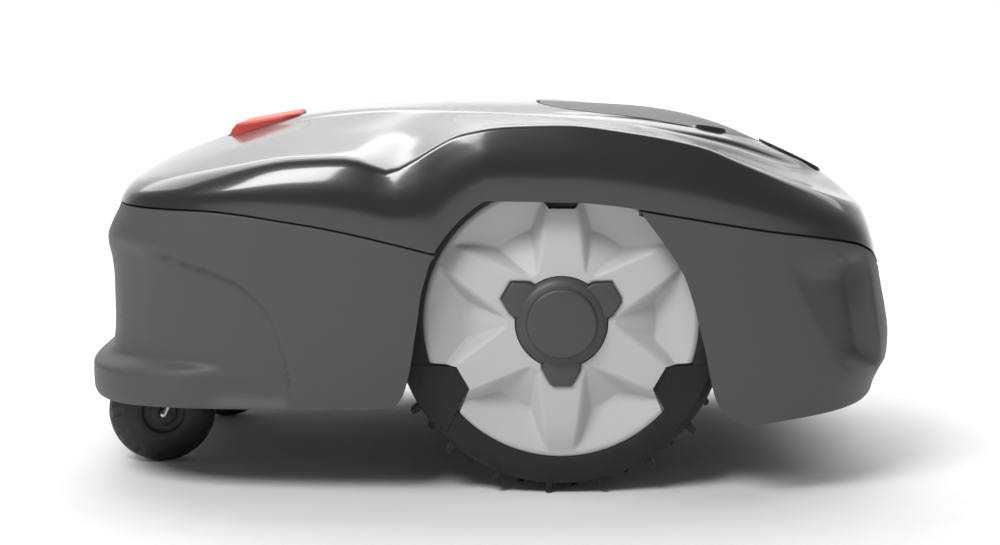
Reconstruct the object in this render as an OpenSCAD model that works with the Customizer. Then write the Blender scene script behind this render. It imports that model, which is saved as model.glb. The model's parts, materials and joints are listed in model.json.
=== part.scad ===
// Robotic lawn mower: a floating body over a sealed chassis, two driven wheels and two trailing casters.
// Millimetres. +X is forward, +Y is the mower's left, +Z is up, and the ground is at Z = 0.

/* [Body shell] */
// Overall length of the body
body_l = 550; // [540:1:562]
// Overall width of the body
body_w = 390; // [386:1:402]
// Wall thickness of the cover and the skirts
wall = 3; // [2.4:0.1:3.4]
// Width of the seam between the cover and the skirts
seam_gap = 1.4; // [1:0.1:2]
// Height of the lip that locates the cover on the skirts
lip_h = 6; // [4:0.5:8]
// Depth of the scoop in each front corner
scoop_d = 12; // [8:0.5:14]
// Gap round the hatch and the stop button
panel_gap = 1; // [0.8:0.1:1.4]

/* [Hatch and stop button] */
// Length of the hatch
hatch_l = 160; // [150:1:164]
// Half of the hatch's width
hatch_half = 60; // [56:1:62]
// Thickness of the hatch
hatch_wall = 2.5; // [2:0.1:3]
// Radius of the hatch's hinge pin
hatch_pin_r = 1.5; // [1.2:0.1:1.8]
// Length of the stop button
stop_l = 50; // [46:1:52]
// Half of the stop button's width
stop_half = 35; // [30:1:37]
// Travel of the stop button
stop_travel = 4; // [3:0.5:5]

/* [Drive wheels] */
// Radius over the lugs
lug_r = 115; // [112:0.5:117]
// Radius of the tyre between the lugs
tyre_r = 108.5; // [106:0.5:110]
// Width of the tyre
tyre_w = 40; // [36:1:42]
// Radius of the hub's rim
hub_r = 90; // [88:0.5:92]
// Number of lugs in each of the two rows
lug_count = 20; // [16:2:24]
// Width of a lug along the tread
lug_w = 5; // [4:0.5:6]
// Distance of the axle line in front of the body's middle
wheel_x = 46; // [40:1:50]
// Radius of the drive shaft
shaft_r = 6; // [5:0.5:7]
// Radius of the hub cap's round base
cap_r = 30; // [28:0.5:31]

/* [Casters] */
// Radius of a caster wheel
caster_r = 37; // [36:0.5:37.5]
// Width of a caster wheel
caster_w = 30; // [26:1:32]
// Distance of each caster's swivel from the middle
caster_y = 72; // [68:1:76]
// Distance that a caster wheel trails behind its swivel
caster_trail = 13; // [11:0.5:14]
// Radius of the bent caster rod
rod_r = 2.6; // [2.4:0.1:3]
// Steering angle of the right caster at rest
caster_turn_right = 12; // [-20:1:30]
// Steering angle of the left caster at rest
caster_turn_left = 205; // [-20:1:230]

/* [Cutter] */
// Distance of the cutter's axis in front of the axle line
cut_ahead = 24; // [20:1:28]
// Height of the blades over the ground at rest
cut_h = 36; // [34:1:40]
// Radius to the blade tips
cut_r = 85; // [80:1:88]
// Radius of the blade disc
disc_r = 62; // [60:1:66]
// Number of blades
blade_count = 3; // [3:1:3]

/* [Chassis] */
// Height of the chassis floor over the ground
floor_z = 76; // [74:1:78]
// Room on each side of the chassis for a wheel and its motor flange
side_bay = 79; // [77:1:83]
// Wall thickness of the chassis
tub_wall = 3; // [2.5:0.5:4]
// Running clearance of a shaft in its bore
run_gap = 0.05; // [0.03:0.01:0.08]
// Clearance between pieces that slide past each other
slide_gap = 0.3; // [0.25:0.05:0.5]

/* [Hidden] */
$fn = 64;
rear_x = -body_l / 2;
front_x = body_l / 2;
half_w = body_w / 2;
tub_half = half_w - side_bay;
roof_room = 20;
top_z = 2 * lug_r + roof_room;

// The profile lines are drawn for these lengths behind and ahead of the axle, and for this height
drawn_rear = 321;
drawn_front = 229;
drawn_top = 250;
rear_scale = (wheel_x - rear_x) / drawn_rear;
front_scale = (front_x - wheel_x) / drawn_front;

// Profile lines of the body: [distance ahead of the axle, height]
ridge_line = [
  [-312, 184], [-307, 193], [-284.5, 208], [-233, 227], [-183, 241], [-163, 244.5], [-114, 249], [-54, 250],
  [0, 248.5], [33, 247], [62, 245.2], [91, 240.8], [121, 232.5], [150, 220], [179, 206.5], [196, 197], [205, 191],
  [211, 182], [215, 170]
];
seam_line = [
  [-304, 187.5], [-236, 187.5], [-169, 180], [-87, 162], [-46, 150], [34, 150], [49, 189],
  [120, 177], [190, 165], [206, 157], [214, 147], [220, 142.5], [224.5, 141]
];
crest_line = [
  [-302, 198], [-276, 203], [-221, 213], [-173, 221], [-142, 222], [-126, 219], [-112, 213], [-101, 217],
  [-86, 226], [-65, 237], [-36, 242], [0, 243], [44, 238], [89, 229], [114, 218.8], [150, 204.8], [186.5, 191.7],
  [200, 186.5], [210, 182.5]
];
channel_line = [
  [-284, 208], [-246, 217], [-173, 231], [-112, 232], [-65, 240.5], [0, 239.5],
  [44, 234.5], [89, 224.5], [114, 216], [150, 203.5], [180, 196.5], [198, 195.8]
];
deck_line = [
  [-236, 226], [-196, 234], [-163, 240], [-109, 245], [-46, 244], [0, 241.5],
  [29, 239.5], [49, 237], [92, 227.5], [127, 218], [150, 209.5], [164, 205], [180, 200.5], [194, 198]
];
skirt_line = [[-320, 57], [-236, 59.5], [-110, 61], [110, 49], [155, 53], [212, 58.5]];
crease_line = [[-312, 155], [-236, 143], [-206, 128], [-193, 106], [-183, 75], [-177, 60]];
deck_half = 76;

// Levels of the rear skirt: [height, distance in from the rear end, edge of the wheel opening behind the axle]
rear_levels = [
  [57, 4, 120], [62.5, 0.3, 108], [72, 0, 101], [80, 0, 99], [85, 9.5, 97.7], [89, 13.5, 97], [104, 15.3, 94.7],
  [118, 15.5, 92.5], [134, 15.4, 90.3], [148, 14.5, 86.5], [155, 13.2, 84.5]
];
// Levels of the front skirt: [height, distance in from the front end, edge of the wheel opening ahead of the axle]
front_levels = [
  [49, 13, 118], [66, 9.5, 99.5], [75, 5, 97], [84, 0.3, 94.7], [98, 0, 92], [112, 1.8, 88.5], [126, 4.6, 85]
];
// Steps from the highest front level up to the seam: [share, distance in from the front end, edge]
front_rise = [[0.36, 5.6, 78], [0.7, 6.6, 65]];
seam_edge_rear = 82;
seam_edge_front = 50;

// Wheel and axle places
wheel_z = lug_r;
tyre_inset = 21;
tyre_out = half_w - tyre_inset;
tyre_in = tyre_out - tyre_w;
hub_face = tyre_out + 4;
cap_out = hub_face + 9;
flange_y = tub_half + 6;
gear_r = 33;

// Caster places
skirt_rear_z = high(rear_levels[0][0]);
caster_gap = 9.5;
caster_swing = caster_trail + sqrt(pow(caster_r, 2) - pow(skirt_rear_z - caster_r, 2));
caster_x = rear_x + wall + caster_gap + caster_swing;
caster_top = 2 * caster_r + 6;
rear_floor_z = caster_top + 12;
bush_r = rod_r + 3.5;
rod_top = rear_floor_z + 44;

// Cutter places, from the blades upwards and downwards
cut_x = wheel_x + cut_ahead;
blade_t = 1;
blade_pivot_r = 52;
blade_screw_r = 2.5;
disc_z = cut_h + blade_t + slide_gap;
disc_t = 4;
skid_z = cut_h - 12;
skid_t = 3;
bolt_r = 5;
carriage_z = disc_z + disc_t + 17;
carriage_h = 66;
carriage_r = 40;
carriage_wall = 3;
motor_shaft_r = 4;
lift_range = 15;
spindle_r = 5;
nut_h = 41;

// Chassis places
tub_front = front_x - 70 * front_scale;
tub_mid = wheel_x - 198 * rear_scale;
tub_rear = rear_x + 45 * rear_scale;
tub_top = wheel_z + gear_r + 3;
seal_h = 1.2;
lid_h = 15;
lid_z = tub_top + seal_h;
lid_top = lid_z + lid_h;
panel_t = 4;
panel_z = top_z - 46;
console_rear = wheel_x - 8;
console_front = wheel_x + 143 * front_scale;
console_half = 58;
console_corner = 22;
spindle_z = carriage_z + carriage_h + lift_range + 2.5;
knob_z = panel_z + panel_t + slide_gap;

// Hatch places
hatch_rear = wheel_x - 11 * rear_scale;
hatch_reach = hatch_l * front_scale / 2;
hatch_o = [hatch_rear + hatch_reach, hatch_reach, hatch_reach, hatch_half, 3.2, 2.4];
hinge_room = 2.2;
hinge_back = 10;
knuckle_w = 8;
knuckle_y = 22;
bracket_y = knuckle_y + knuckle_w + slide_gap;
hinge_half = bracket_y + knuckle_w / 2;
knuckle_r = hatch_pin_r + 1.6;
pin_x = hatch_rear - hinge_back;
pin_z = deck(pin_x, hinge_half) - wall - knuckle_r - slide_gap;

// Stop button places
stop_rear = wheel_x - 233 * rear_scale;
stop_front = stop_rear + stop_l * rear_scale;
stop_low = high(212);
stop_floor = high(198);

// Place along the body in the lengths that the profile lines are drawn for
function drawn(x) =
  x < wheel_x ? (x - wheel_x) * drawn_rear / (wheel_x - rear_x) : (x - wheel_x) * drawn_front / (front_x - wheel_x);
function high(z) = z * top_z / drawn_top;
function line_z(x, line) = high(lookup(drawn(x), line));
function mix(a, b, share) = a + (b - a) * share;
function clamp(v) = max(0, min(1, v));

// Crowned deck between the two deck edges
function deck(x, y) = mix(line_z(x, ridge_line), line_z(x, deck_line), pow(abs(y) / deck_half, 3));

// Superellipse outline in plan: [middle, rear half length, front half length, half width, rear and front power]
function reach(a, n) = pow(pow(abs(cos(a)), n) + pow(abs(sin(a)), n), -1 / n);
function plan(a, o, inset) =
  let (c = cos(a), k = reach(a, c < 0 ? o[4] : o[5]), half_l = c < 0 ? o[1] : o[2])
  [o[0] + (half_l - inset) * c * k, (o[3] - inset) * sin(a) * k];
function edge_angle(d, half_l, n) = atan2(pow(1 - pow(d / half_l, n), 1 / n), d / half_l);

// Closed shell whose cross-section loops run along the list: the first and last loops are capped or joined
module loft(loops, closed) {
  n = len(loops);
  m = len(loops[0]);
  half_m = m / 2;
  sides = [
    for (j = [0 : closed ? n - 1 : n - 2], i = [0 : m - 1])
      let (a = j * m + i, b = j * m + (i + 1) % m, c = ((j + 1) % n) * m + i, d = ((j + 1) % n) * m + (i + 1) % m)
      each [[a, b, d], [a, d, c]]
  ];
  ends = closed ? [] : [
    for (e = [0, n - 1], i = [0 : half_m - 2])
      let (a = e * m + i, b = a + 1, c = e * m + m - 1 - i, d = c - 1)
      each e == 0 ? [[a, d, b], [a, c, d]] : [[a, b, d], [a, d, c]]
  ];
  polyhedron(points = [for (l = loops) each l], faces = concat(sides, ends), convexity = 10);
}

// Outlines of the cover from the seam up to the deck
cover_rings = [
  [wheel_x, wheel_x - rear_x - 21, front_x - wheel_x - 7.5, half_w - 2, 4.8, 4.3],
  [wheel_x, wheel_x - rear_x - 23, front_x - wheel_x - 13, half_w, 4.6, 4.2],
  [wheel_x, wheel_x - rear_x - 26, front_x - wheel_x - 19, half_w - 9, 4, 4],
  [wheel_x, wheel_x - rear_x - 40, front_x - wheel_x - 31, half_w - 63, 2.8, 3],
  [wheel_x, wheel_x - rear_x - 85, front_x - wheel_x - 35, deck_half, 2.4, 2.6],
  [wheel_x, wheel_x - rear_x - 120, front_x - wheel_x - 44, deck_half - 2.5, 2.4, 2.6],
  [wheel_x, wheel_x - rear_x - 160, front_x - wheel_x - 50, deck_half - 5, 2.4, 2.6],
  [wheel_x, wheel_x - rear_x - 245, front_x - wheel_x - 62, deck_half - 10, 2.4, 2.6]
];
seam_o = cover_rings[0];

// Point of one cover ring, lowered and moved in for the inner face
function cover_point(ring, a, inset, down) =
  let (
    p = plan(a, cover_rings[ring], 0),
    q = plan(a, cover_rings[ring], inset),
    seam = line_z(p.x, seam_line) + seam_gap / 2,
    crest = line_z(p.x, crest_line),
    z = ring == 0 ? seam
      : ring == 1 ? mix(seam, crest, 0.5)
      : ring == 2 ? crest
      : ring == 3 ? line_z(p.x, channel_line)
      : ring == 4 ? line_z(p.x, deck_line)
      : deck(p.x, p.y)
  )
  [q.x, q.y, z - down];

function hatch_hole_point(a, down) =
  let (
    gap = cos(a) < 0 ? panel_gap + (hinge_room - panel_gap) * abs(cos(a)) : panel_gap,
    p = plan(a, hatch_o, -gap)
  )
  [p.x, p.y, deck(p.x, p.y) - down];

cover_steps = 120;
last_ring = len(cover_rings) - 1;
cover_loops = [
  for (j = [0 : cover_steps - 1])
    let (a = j * 360 / cover_steps)
    [
      for (ring = [0 : last_ring]) cover_point(ring, a, 0, 0),
      hatch_hole_point(a, 0),
      hatch_hole_point(a, wall),
      for (ring = [last_ring : -1 : 3]) cover_point(ring, a, 0, wall),
      cover_point(2, a, wall + 1, wall * 0.8),
      for (ring = [1, 0]) cover_point(ring, a, wall, 0)
    ]
];

module top_cover() {
  color([0.3, 0.3, 0.31])
    difference() {
      loft(cover_loops, true);
      stop_prism(panel_gap, high(180), top_z + 10);
      wheel_arch();
    }
}

// Cuts a piece to the face of the cover that it seats on: -1 for the inner face, 1 for the outer one.
// The cover is drawn only as far as span to each side of a turn from the front.
seat_gap = 0.05;
module seat_on_cover(side, turn, span) {
  mid = turn * cover_steps / 360;
  reach = span * cover_steps / 360;
  difference() {
    children();
    translate([0, 0, side * seat_gap])
      if (span == 180)
        loft(cover_loops, true);
      else
        loft([for (j = [mid - reach : mid + reach]) cover_loops[(j + cover_steps) % cover_steps]], false);
  }
}

// Wheel arch: the rim's circle under a flat, slightly sloping top
arch_gap = 4;
arch_top = high(193.5);
module wheel_arch() {
  translate([wheel_x, body_w, wheel_z])
    rotate([90, 0, 0])
      linear_extrude(2 * body_w)
        intersection() {
          circle(r = hub_r + arch_gap, $fn = 180);
          translate([-hub_r * 2, -hub_r * 2])
            square([4 * hub_r, 2 * hub_r + arch_top - wheel_z]);
        }
}

// Inward depth of the scoop in the front corners, at a place ahead of the axle and a height
function scoop(dx, z) =
  let (
    low = 141 + (158 - z) * 0.536,
    far = 196 + (154 - z) * 0.17,
    w = (dx - low) / (far - low),
    fade = clamp((157 - z) / 16)
  )
  scoop_d * fade * (w < 0 ? 0 : w < 1 ? sin(90 * w) : clamp(1 - (dx - far) / 5));

// Inward depth of the shallow recess in the rear corners, above the bumper
recess_d = 3;
function recess(dx, z) = recess_d * clamp((lookup(dx, crease_line) - z) / 6) * clamp((-150 - dx) / 30) * clamp((z - 84) / 4);

skirt_steps = 56;
lip_in = wall + 0.4;
lip_t = 2.2;
lip_lean = 2.6;

// One point of a skirt: u runs from -1 at the left opening to 1 at the right one
function skirt_point(u, o, edge, z, inset, rear) =
  let (
    half_l = rear ? o[1] : o[2],
    a = u * edge_angle(edge, half_l, rear ? o[4] : o[5]) + (rear ? 180 : 0),
    p = plan(a, o, 0),
    dent = z == undef ? 0 : rear ? recess(drawn(p.x), z) : scoop(drawn(p.x), z),
    q = plan(a, o, inset + dent)
  )
  [q.x, q.y, p.x];

function raise(p, z) = [p.x, p.y, z];

function rear_level_point(u, k, inset) =
  let (
    l = rear_levels[k],
    o = [wheel_x, wheel_x - rear_x - l[1], 100, half_w - 1.5, 5, 4.4],
    p = skirt_point(u, o, l[2], l[0], inset, true)
  )
  raise(p, k == 0 ? line_z(p[2], skirt_line) : high(l[0]));

function seam_point(u, rear, inset, up) =
  let (p = skirt_point(u, seam_o, rear ? seam_edge_rear : seam_edge_front, undef, inset, rear))
  raise(p, line_z(p[2], seam_line) - seam_gap / 2 + up);

// Rebated top edge: the seam, the step in and the lip that stands inside the cover
function lip_points(u, rear) = [
  seam_point(u, rear, 0, 0),
  seam_point(u, rear, lip_in, 0),
  seam_point(u, rear, lip_in + lip_lean, lip_h),
  seam_point(u, rear, lip_in + lip_lean + lip_t, lip_h),
  seam_point(u, rear, lip_in + lip_t, -3),
  seam_point(u, rear, wall, -5)
];

module rear_skirt() {
  last = len(rear_levels) - 1;
  loops = [
    for (j = [0 : skirt_steps])
      let (u = 2 * j / skirt_steps - 1)
      [
        for (k = [0 : last]) rear_level_point(u, k, 0),
        each lip_points(u, true),
        for (k = [last : -1 : 0]) rear_level_point(u, k, wall)
      ]
  ];
  color("dimgray") loft(loops, false);
}

function front_level_point(u, k, inset) =
  let (
    l = front_levels[k],
    o = [wheel_x, 100, front_x - wheel_x - l[1], half_w - 1.5, 5, 4.4],
    p = skirt_point(u, o, l[2], l[0], inset, false)
  )
  raise(p, k == 0 ? line_z(p[2], skirt_line) : high(l[0]));

function front_rise_point(u, k, inset) =
  let (
    l = front_rise[k],
    low = front_levels[len(front_levels) - 1][0],
    o = [wheel_x, 100, front_x - wheel_x - l[1], half_w - 1.5, 5, 4.4],
    q = skirt_point(u, o, l[2], undef, inset, false),
    z = mix(low, lookup(drawn(q[2]), seam_line), l[0]),
    p = skirt_point(u, o, l[2], z, inset, false)
  )
  raise(p, high(z));

module front_skirt() {
  last = len(front_levels) - 1;
  rises = len(front_rise) - 1;
  loops = [
    for (j = [0 : skirt_steps])
      let (u = 2 * j / skirt_steps - 1)
      [
        for (k = [0 : last]) front_level_point(u, k, 0),
        for (k = [0 : rises]) front_rise_point(u, k, 0),
        each lip_points(u, false),
        for (k = [rises : -1 : 0]) front_rise_point(u, k, wall),
        for (k = [last : -1 : 0]) front_level_point(u, k, wall)
      ]
  ];
  color("dimgray") loft(loops, false);
}

// Crowned panel that follows the deck: outline, heights of its lower and upper faces over the deck
module crown_panel(o, low, up, steps, rings) {
  function ring_point(s, a, dz) =
    let (p = plan(a, o, 0), x = mix(o[0], p.x, s), y = s * p.y)
    [x, y, deck(x, y) + dz];
  lower = [for (r = [1 : rings], j = [0 : steps - 1]) ring_point(r / rings, j * 360 / steps, low)];
  upper = [for (r = [rings : -1 : 1], j = [0 : steps - 1]) ring_point(r / rings, j * 360 / steps, up)];
  points = concat([ring_point(0, 0, low)], lower, upper, [ring_point(0, 0, up)]);
  end = len(points) - 1;
  fans = [
    for (j = [0 : steps - 1])
      let (k = (j + 1) % steps)
      each [[0, 1 + j, 1 + k], [end, end - steps + k, end - steps + j]]
  ];
  sides = [
    for (r = [0 : 2 * rings - 2], j = [0 : steps - 1])
      let (a = 1 + r * steps + j, b = 1 + r * steps + (j + 1) % steps)
      each [[a, a + steps, b + steps], [a, b + steps, b]]
  ];
  polyhedron(points = points, faces = concat(fans, sides), convexity = 4);
}

// Hinge knuckle round the pin
module knuckle(y, bore) {
  translate([pin_x, y + knuckle_w / 2, pin_z])
    rotate([90, 0, 0])
      difference() {
        cylinder(r = knuckle_r, h = knuckle_w);
        translate([0, 0, -1])
          cylinder(r = bore, h = knuckle_w + 2);
      }
}

// Gooseneck arm of the hatch: it dips under the edge of the deck, so the hatch swings up clear of it
arm_in = hinge_back + 2.4;
arm_reach = hinge_back + 5.8;
arm_dip = 9.2;
arm_t = 2.9;
arm_half = 2.2;
module hatch_arm(y) {
  bore = hatch_pin_r + run_gap;
  rise = deck(hatch_rear, y) - hatch_wall / 2 - pin_z;
  knuckle(y, bore);
  translate([pin_x, y + knuckle_w / 2, pin_z])
    rotate([90, 0, 0])
      linear_extrude(knuckle_w)
        difference() {
          polygon([
            [arm_reach, rise], [arm_reach, -arm_dip], [arm_reach - 2, -arm_dip - arm_t], [-1, -arm_dip - arm_t],
            [-arm_half, -arm_dip], [-arm_half, 0], [arm_half, 0], [arm_half, -arm_dip], [arm_in, -arm_dip],
            [arm_in, rise]
          ]);
          circle(r = bore);
        }
}

module hatch() {
  color([0.2, 0.2, 0.21])
    union() {
      crown_panel(hatch_o, -hatch_wall, 0, 48, 5);
      for (y = [-knuckle_y, knuckle_y]) hatch_arm(y);
    }
}

// Hinge bracket: a riser under the deck with three knuckles that hold the pin
riser_l = 14;
riser_gap = 4;
module hatch_hinge() {
  riser_x = pin_x - riser_gap - riser_l;
  low = pin_z - knuckle_r;
  riser_top = deck(riser_x, hinge_half) - wall / 2;
  color("gray")
    union() {
      seat_on_cover(-1, 180, 75)
        translate([riser_x, -hinge_half, low])
          cube([riser_l, 2 * hinge_half, riser_top - low]);
      for (y = [-bracket_y, 0, bracket_y]) {
        knuckle(y, hatch_pin_r);
        translate([pin_x - riser_gap - 1, y - knuckle_w / 2, low])
          difference() {
            cube([riser_gap + 1, knuckle_w, knuckle_r]);
            translate([riser_gap + 1, -1, knuckle_r])
              rotate([-90, 0, 0])
                cylinder(r = hatch_pin_r, h = knuckle_w + 2);
          }
      }
    }
}

module hatch_pin() {
  color("lightgray")
    translate([pin_x, hinge_half, pin_z])
      rotate([90, 0, 0])
        cylinder(r = hatch_pin_r, h = 2 * hinge_half);
}

// Bare plate on the nose
plate_t = 2;
plate_x = front_x - 57 * front_scale;
plate_reach = 22 * front_scale;
plate_half = 25;
module nose_plate() {
  color([0.1, 0.1, 0.1])
    seat_on_cover(1, 0, 60)
      crown_panel([plate_x, plate_reach, plate_reach - 1, plate_half, 3, 3], -wall / 2, plate_t, 32, 3);
}

// Plan outline of the stop button, grown by a gap
function corner_points(x0, x1, half, r) = [
  for (q = [0 : 3], s = [0 : 6])
    let (a = q * 90 + s * 15, cx = q == 0 || q == 3 ? x1 - r : x0 + r, cy = q < 2 ? half - r : r - half)
    [cx + r * cos(a), cy + r * sin(a)]
];
stop_corner = 12;
module stop_prism(gap, z0, z1) {
  translate([0, 0, z0])
    linear_extrude(z1 - z0)
      polygon(corner_points(stop_rear - gap, stop_front + gap, stop_half + gap, stop_corner + gap));
}

stop_proud = 8;
module stop_button() {
  rear_z = deck(stop_rear, 0) + 1;
  tip_z = deck(stop_front, 0) + 2;
  color([0.85, 0.35, 0.33])
    intersection() {
      stop_prism(0, stop_low, top_z + 10);
      translate([0, stop_half + 1, 0])
        rotate([90, 0, 0])
          linear_extrude(2 * stop_half + 2)
            polygon([
              [stop_rear - 1, stop_low], [stop_rear - 1, rear_z], [stop_rear + 6, rear_z + stop_proud - 1],
              [stop_front + 1, tip_z], [stop_front + 1, stop_low]
            ]);
    }
}

// Cup under the deck that guides the stop button
cup_wall = 2;
cup_rim = 6;
module stop_housing() {
  rear_end = stop_rear - cup_rim;
  front_end = stop_front + cup_rim;
  color([0.15, 0.15, 0.15])
    difference() {
      seat_on_cover(-1, 180, 75)
        intersection() {
          stop_prism(panel_gap + cup_wall, stop_floor, top_z);
          translate([0, 2 * stop_half, 0])
            rotate([90, 0, 0])
              linear_extrude(4 * stop_half)
                polygon([
                  [rear_end, stop_floor - 1], [rear_end, deck(rear_end, stop_half) - wall / 2],
                  [front_end, deck(front_end, stop_half) - wall / 2], [front_end, stop_floor - 1]
                ]);
        }
      stop_prism(2 * slide_gap, stop_floor + cup_wall, top_z + 1);
    }
}

// Coil spring swept along a helix
module coil(r, wire, z0, z1, turns) {
  sides = 8;
  steps = turns * 12;
  loops = [
    for (j = [0 : steps])
      let (a = j * 30, z = mix(z0 + wire, z1 - wire, j / steps))
      [
        for (s = [0 : sides - 1])
          let (b = s * 360 / sides, rr = r + wire * cos(b))
          [rr * cos(a), rr * sin(a), z + wire * sin(b)]
      ]
  ];
  loft(loops, false);
}

module stop_spring() {
  color("lightgray")
    translate([(stop_rear + stop_front) / 2, 0, 0])
      coil(9, 0.8, stop_floor + cup_wall, stop_low, 4);
}

// Suspension: four posts on the chassis lid, each in a cup under the cover
post_r = 7;
post_stem_r = 5;
post_foot_r = 12;
post_foot_h = 4;
post_head = 14;
cup_r = 11;
cup_stem_r = 3.5;
cup_depth = 16;
cup_roof = 4;
cup_cone = 6;
cup_drop = wall + 3;
// Places on the cover between two of its rings: [angle round the body, share from the outer to the inner ring]
post_spots = [[54, 0.5], [147, 0.4], [-147, 0.4], [-54, 0.5]];
function post_place(s) = mix(cover_point(3, s[0], 0, cup_drop), cover_point(4, s[0], 0, cup_drop), s[1]);

module suspension_posts() {
  foot = lid_top + slide_gap;
  color([0.12, 0.12, 0.12])
    for (s = post_spots)
      let (p = post_place(s), top = p.z - cup_roof - slide_gap)
        translate([p.x, p.y, 0])
          rotate_extrude()
            polygon([
              [0, foot], [post_foot_r, foot], [post_stem_r, foot + post_foot_h], [post_stem_r, top - post_head],
              [post_r, top - post_head + 1], [post_r, top - 1], [post_r - 1, top], [0, top]
            ]);
}

module suspension_cups() {
  color([0.2, 0.2, 0.2])
    seat_on_cover(-1, 0, 180)
      for (s = post_spots)
        let (p = post_place(s))
          translate([p.x, p.y, p.z])
            rotate_extrude()
              polygon([
                [0, -cup_roof], [post_r + run_gap, -cup_roof], [post_r + run_gap, -cup_depth], [cup_r, -cup_depth],
                [cup_r, -cup_cone], [cup_stem_r, 0], [cup_stem_r, cup_drop - wall / 2], [0, cup_drop - wall / 2]
              ]);
}

// Chassis
module slab(x0, x1, half, r, z0, z1) {
  translate([0, 0, z0])
    linear_extrude(z1 - z0)
      polygon(corner_points(x0, x1, half, r));
}

tub_corner = 34;
caster_boss_r = bush_r + 5;
module caster_places() {
  for (y = [-caster_y, caster_y])
    translate([caster_x, y, 0]) children();
}

sleeve_h = 26;
module chassis_lower() {
  color([0.13, 0.13, 0.13])
    difference() {
      union() {
        difference() {
          union() {
            slab(tub_mid, tub_front, tub_half, tub_corner, floor_z, tub_top);
            slab(tub_rear, tub_mid + 60, tub_half - 8, tub_corner, rear_floor_z, tub_top);
          }
          slab(tub_mid + tub_wall, tub_front - tub_wall, tub_half - tub_wall, tub_corner - tub_wall,
            floor_z + tub_wall, tub_top + 1);
          slab(tub_rear + tub_wall, tub_mid + 60, tub_half - 8 - tub_wall, tub_corner - tub_wall,
            rear_floor_z + tub_wall, tub_top + 1);
        }
        caster_places()
          translate([0, 0, rear_floor_z])
            cylinder(r = caster_boss_r, h = rod_top - rear_floor_z + 3);
        translate([cut_x, 0, floor_z])
          cylinder(r = carriage_r + slide_gap + tub_wall, h = sleeve_h);
      }
      caster_places()
        translate([0, 0, rear_floor_z - 1])
          cylinder(r = bush_r, h = rod_top - rear_floor_z + 1);
      translate([cut_x, 0, floor_z - 1])
        cylinder(r = carriage_r + slide_gap, h = sleeve_h + 2);
      translate([wheel_x, tub_half + 1, wheel_z])
        rotate([90, 0, 0])
          cylinder(r = gear_r + 0.1, h = 2 * tub_half + 2);
      translate([switch_x - switch_l / 2, -switch_w / 2, floor_z - 1])
        cube([switch_l, switch_w, tub_wall + 2]);
      contact_strips(run_gap, floor_z - 1);
    }
}

module chassis_seal() {
  color([0.05, 0.05, 0.05])
    difference() {
      union() {
        slab(tub_mid, tub_front, tub_half, tub_corner, tub_top, lid_z);
        slab(tub_rear, tub_mid + 60, tub_half - 8, tub_corner, tub_top, lid_z);
      }
      slab(tub_mid + tub_wall, tub_front - tub_wall, tub_half - tub_wall, tub_corner - tub_wall, tub_top - 1, lid_z + 1);
      slab(tub_rear + tub_wall, tub_mid + 60, tub_half - 8 - tub_wall, tub_corner - tub_wall, tub_top - 1, lid_z + 1);
    }
}

console_wall = 3;
module chassis_upper() {
  color([0.16, 0.16, 0.16])
    difference() {
      union() {
        slab(tub_mid, tub_front, tub_half, tub_corner, lid_z, lid_top);
        slab(tub_rear, tub_mid + 60, tub_half - 8, tub_corner, lid_z, lid_top);
        slab(console_rear, console_front, console_half, console_corner, lid_z, panel_z);
      }
      slab(tub_mid + tub_wall, tub_front - tub_wall, tub_half - tub_wall, tub_corner - tub_wall,
        lid_z - 1, lid_top - tub_wall);
      slab(tub_rear + tub_wall, tub_mid + 60, tub_half - 8 - tub_wall, tub_corner - tub_wall,
        lid_z - 1, lid_top - tub_wall);
      slab(console_rear + console_wall, console_front - console_wall, console_half - console_wall,
        console_corner - console_wall, lid_z - 1, panel_z - console_wall);
      slab(key_x - keyboard_half - key_room, key_x + keyboard_half + key_room, keys_half + key_room, 3,
        panel_z - console_wall - 1, panel_z + 1);
      translate([cut_x, 0, panel_z - console_wall - 1])
        cylinder(r = spindle_r + run_gap, h = console_wall + 2);
    }
}

// Screws that hold the lid, with their heads on its top face
lid_screws = [for (x = [tub_rear + 30, tub_mid + 20, tub_front - 62], s = [-1, 1]) [x, s * (tub_half - 24)]];
module chassis_screws() {
  color("silver")
    for (p = lid_screws)
      translate([p.x, p.y, lid_top])
        cylinder(r = 4, h = 2.6);
}

// Battery and main board inside the chassis
battery_l = 100;
battery_half = 38;
battery_h = 38;
board_z = floor_z + 54;
board_l = 126;
board_half = 52;
board_x = wheel_x - 186 * rear_scale;
standoff_r = 5;
standoff_in = 6;
module battery() {
  color([0.25, 0.3, 0.38])
    slab(board_x + 13, board_x + 13 + battery_l, battery_half, 4, floor_z + tub_wall, floor_z + tub_wall + battery_h);
}

module board_standoffs() {
  foot = floor_z + tub_wall;
  color("silver")
    for (x = [board_x + standoff_in, board_x + board_l - standoff_in], side = [-1, 1])
      translate([x, side * (board_half - standoff_in), foot])
        cylinder(r = standoff_r, h = board_z - foot);
}

module main_board() {
  color([0.1, 0.35, 0.18])
    union() {
      slab(board_x, board_x + board_l, board_half, 3, board_z, board_z + 1.6);
      for (p = [[22, -20, 16, 16, 3], [60, 5, 24, 24, 2.5], [92, -34, 18, 12, 9], [24, 22, 14, 18, 7]])
        translate([board_x + p[0], p[1], board_z + 1.5])
          cube([p[2], p[3], p[4]]);
    }
}

// Gear motor on one side, with its face towards +Y
motor_r = 20;
motor_in = carriage_r + 6;
gear_in = mix(motor_in, tub_half, 0.34);
module along_y(y, h) {
  translate([wheel_x, y + h, wheel_z])
    rotate([90, 0, 0])
      linear_extrude(h) children();
}

module drive_motor() {
  difference() {
    union() {
      along_y(gear_in, flange_y - gear_in) circle(r = gear_r);
      along_y(motor_in, gear_in - motor_in + 1) circle(r = motor_r);
      along_y(tub_half, flange_y - tub_half) circle(r = gear_r + 9);
    }
    along_y(gear_in + 16, flange_y) circle(r = shaft_r + run_gap);
  }
}

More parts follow.
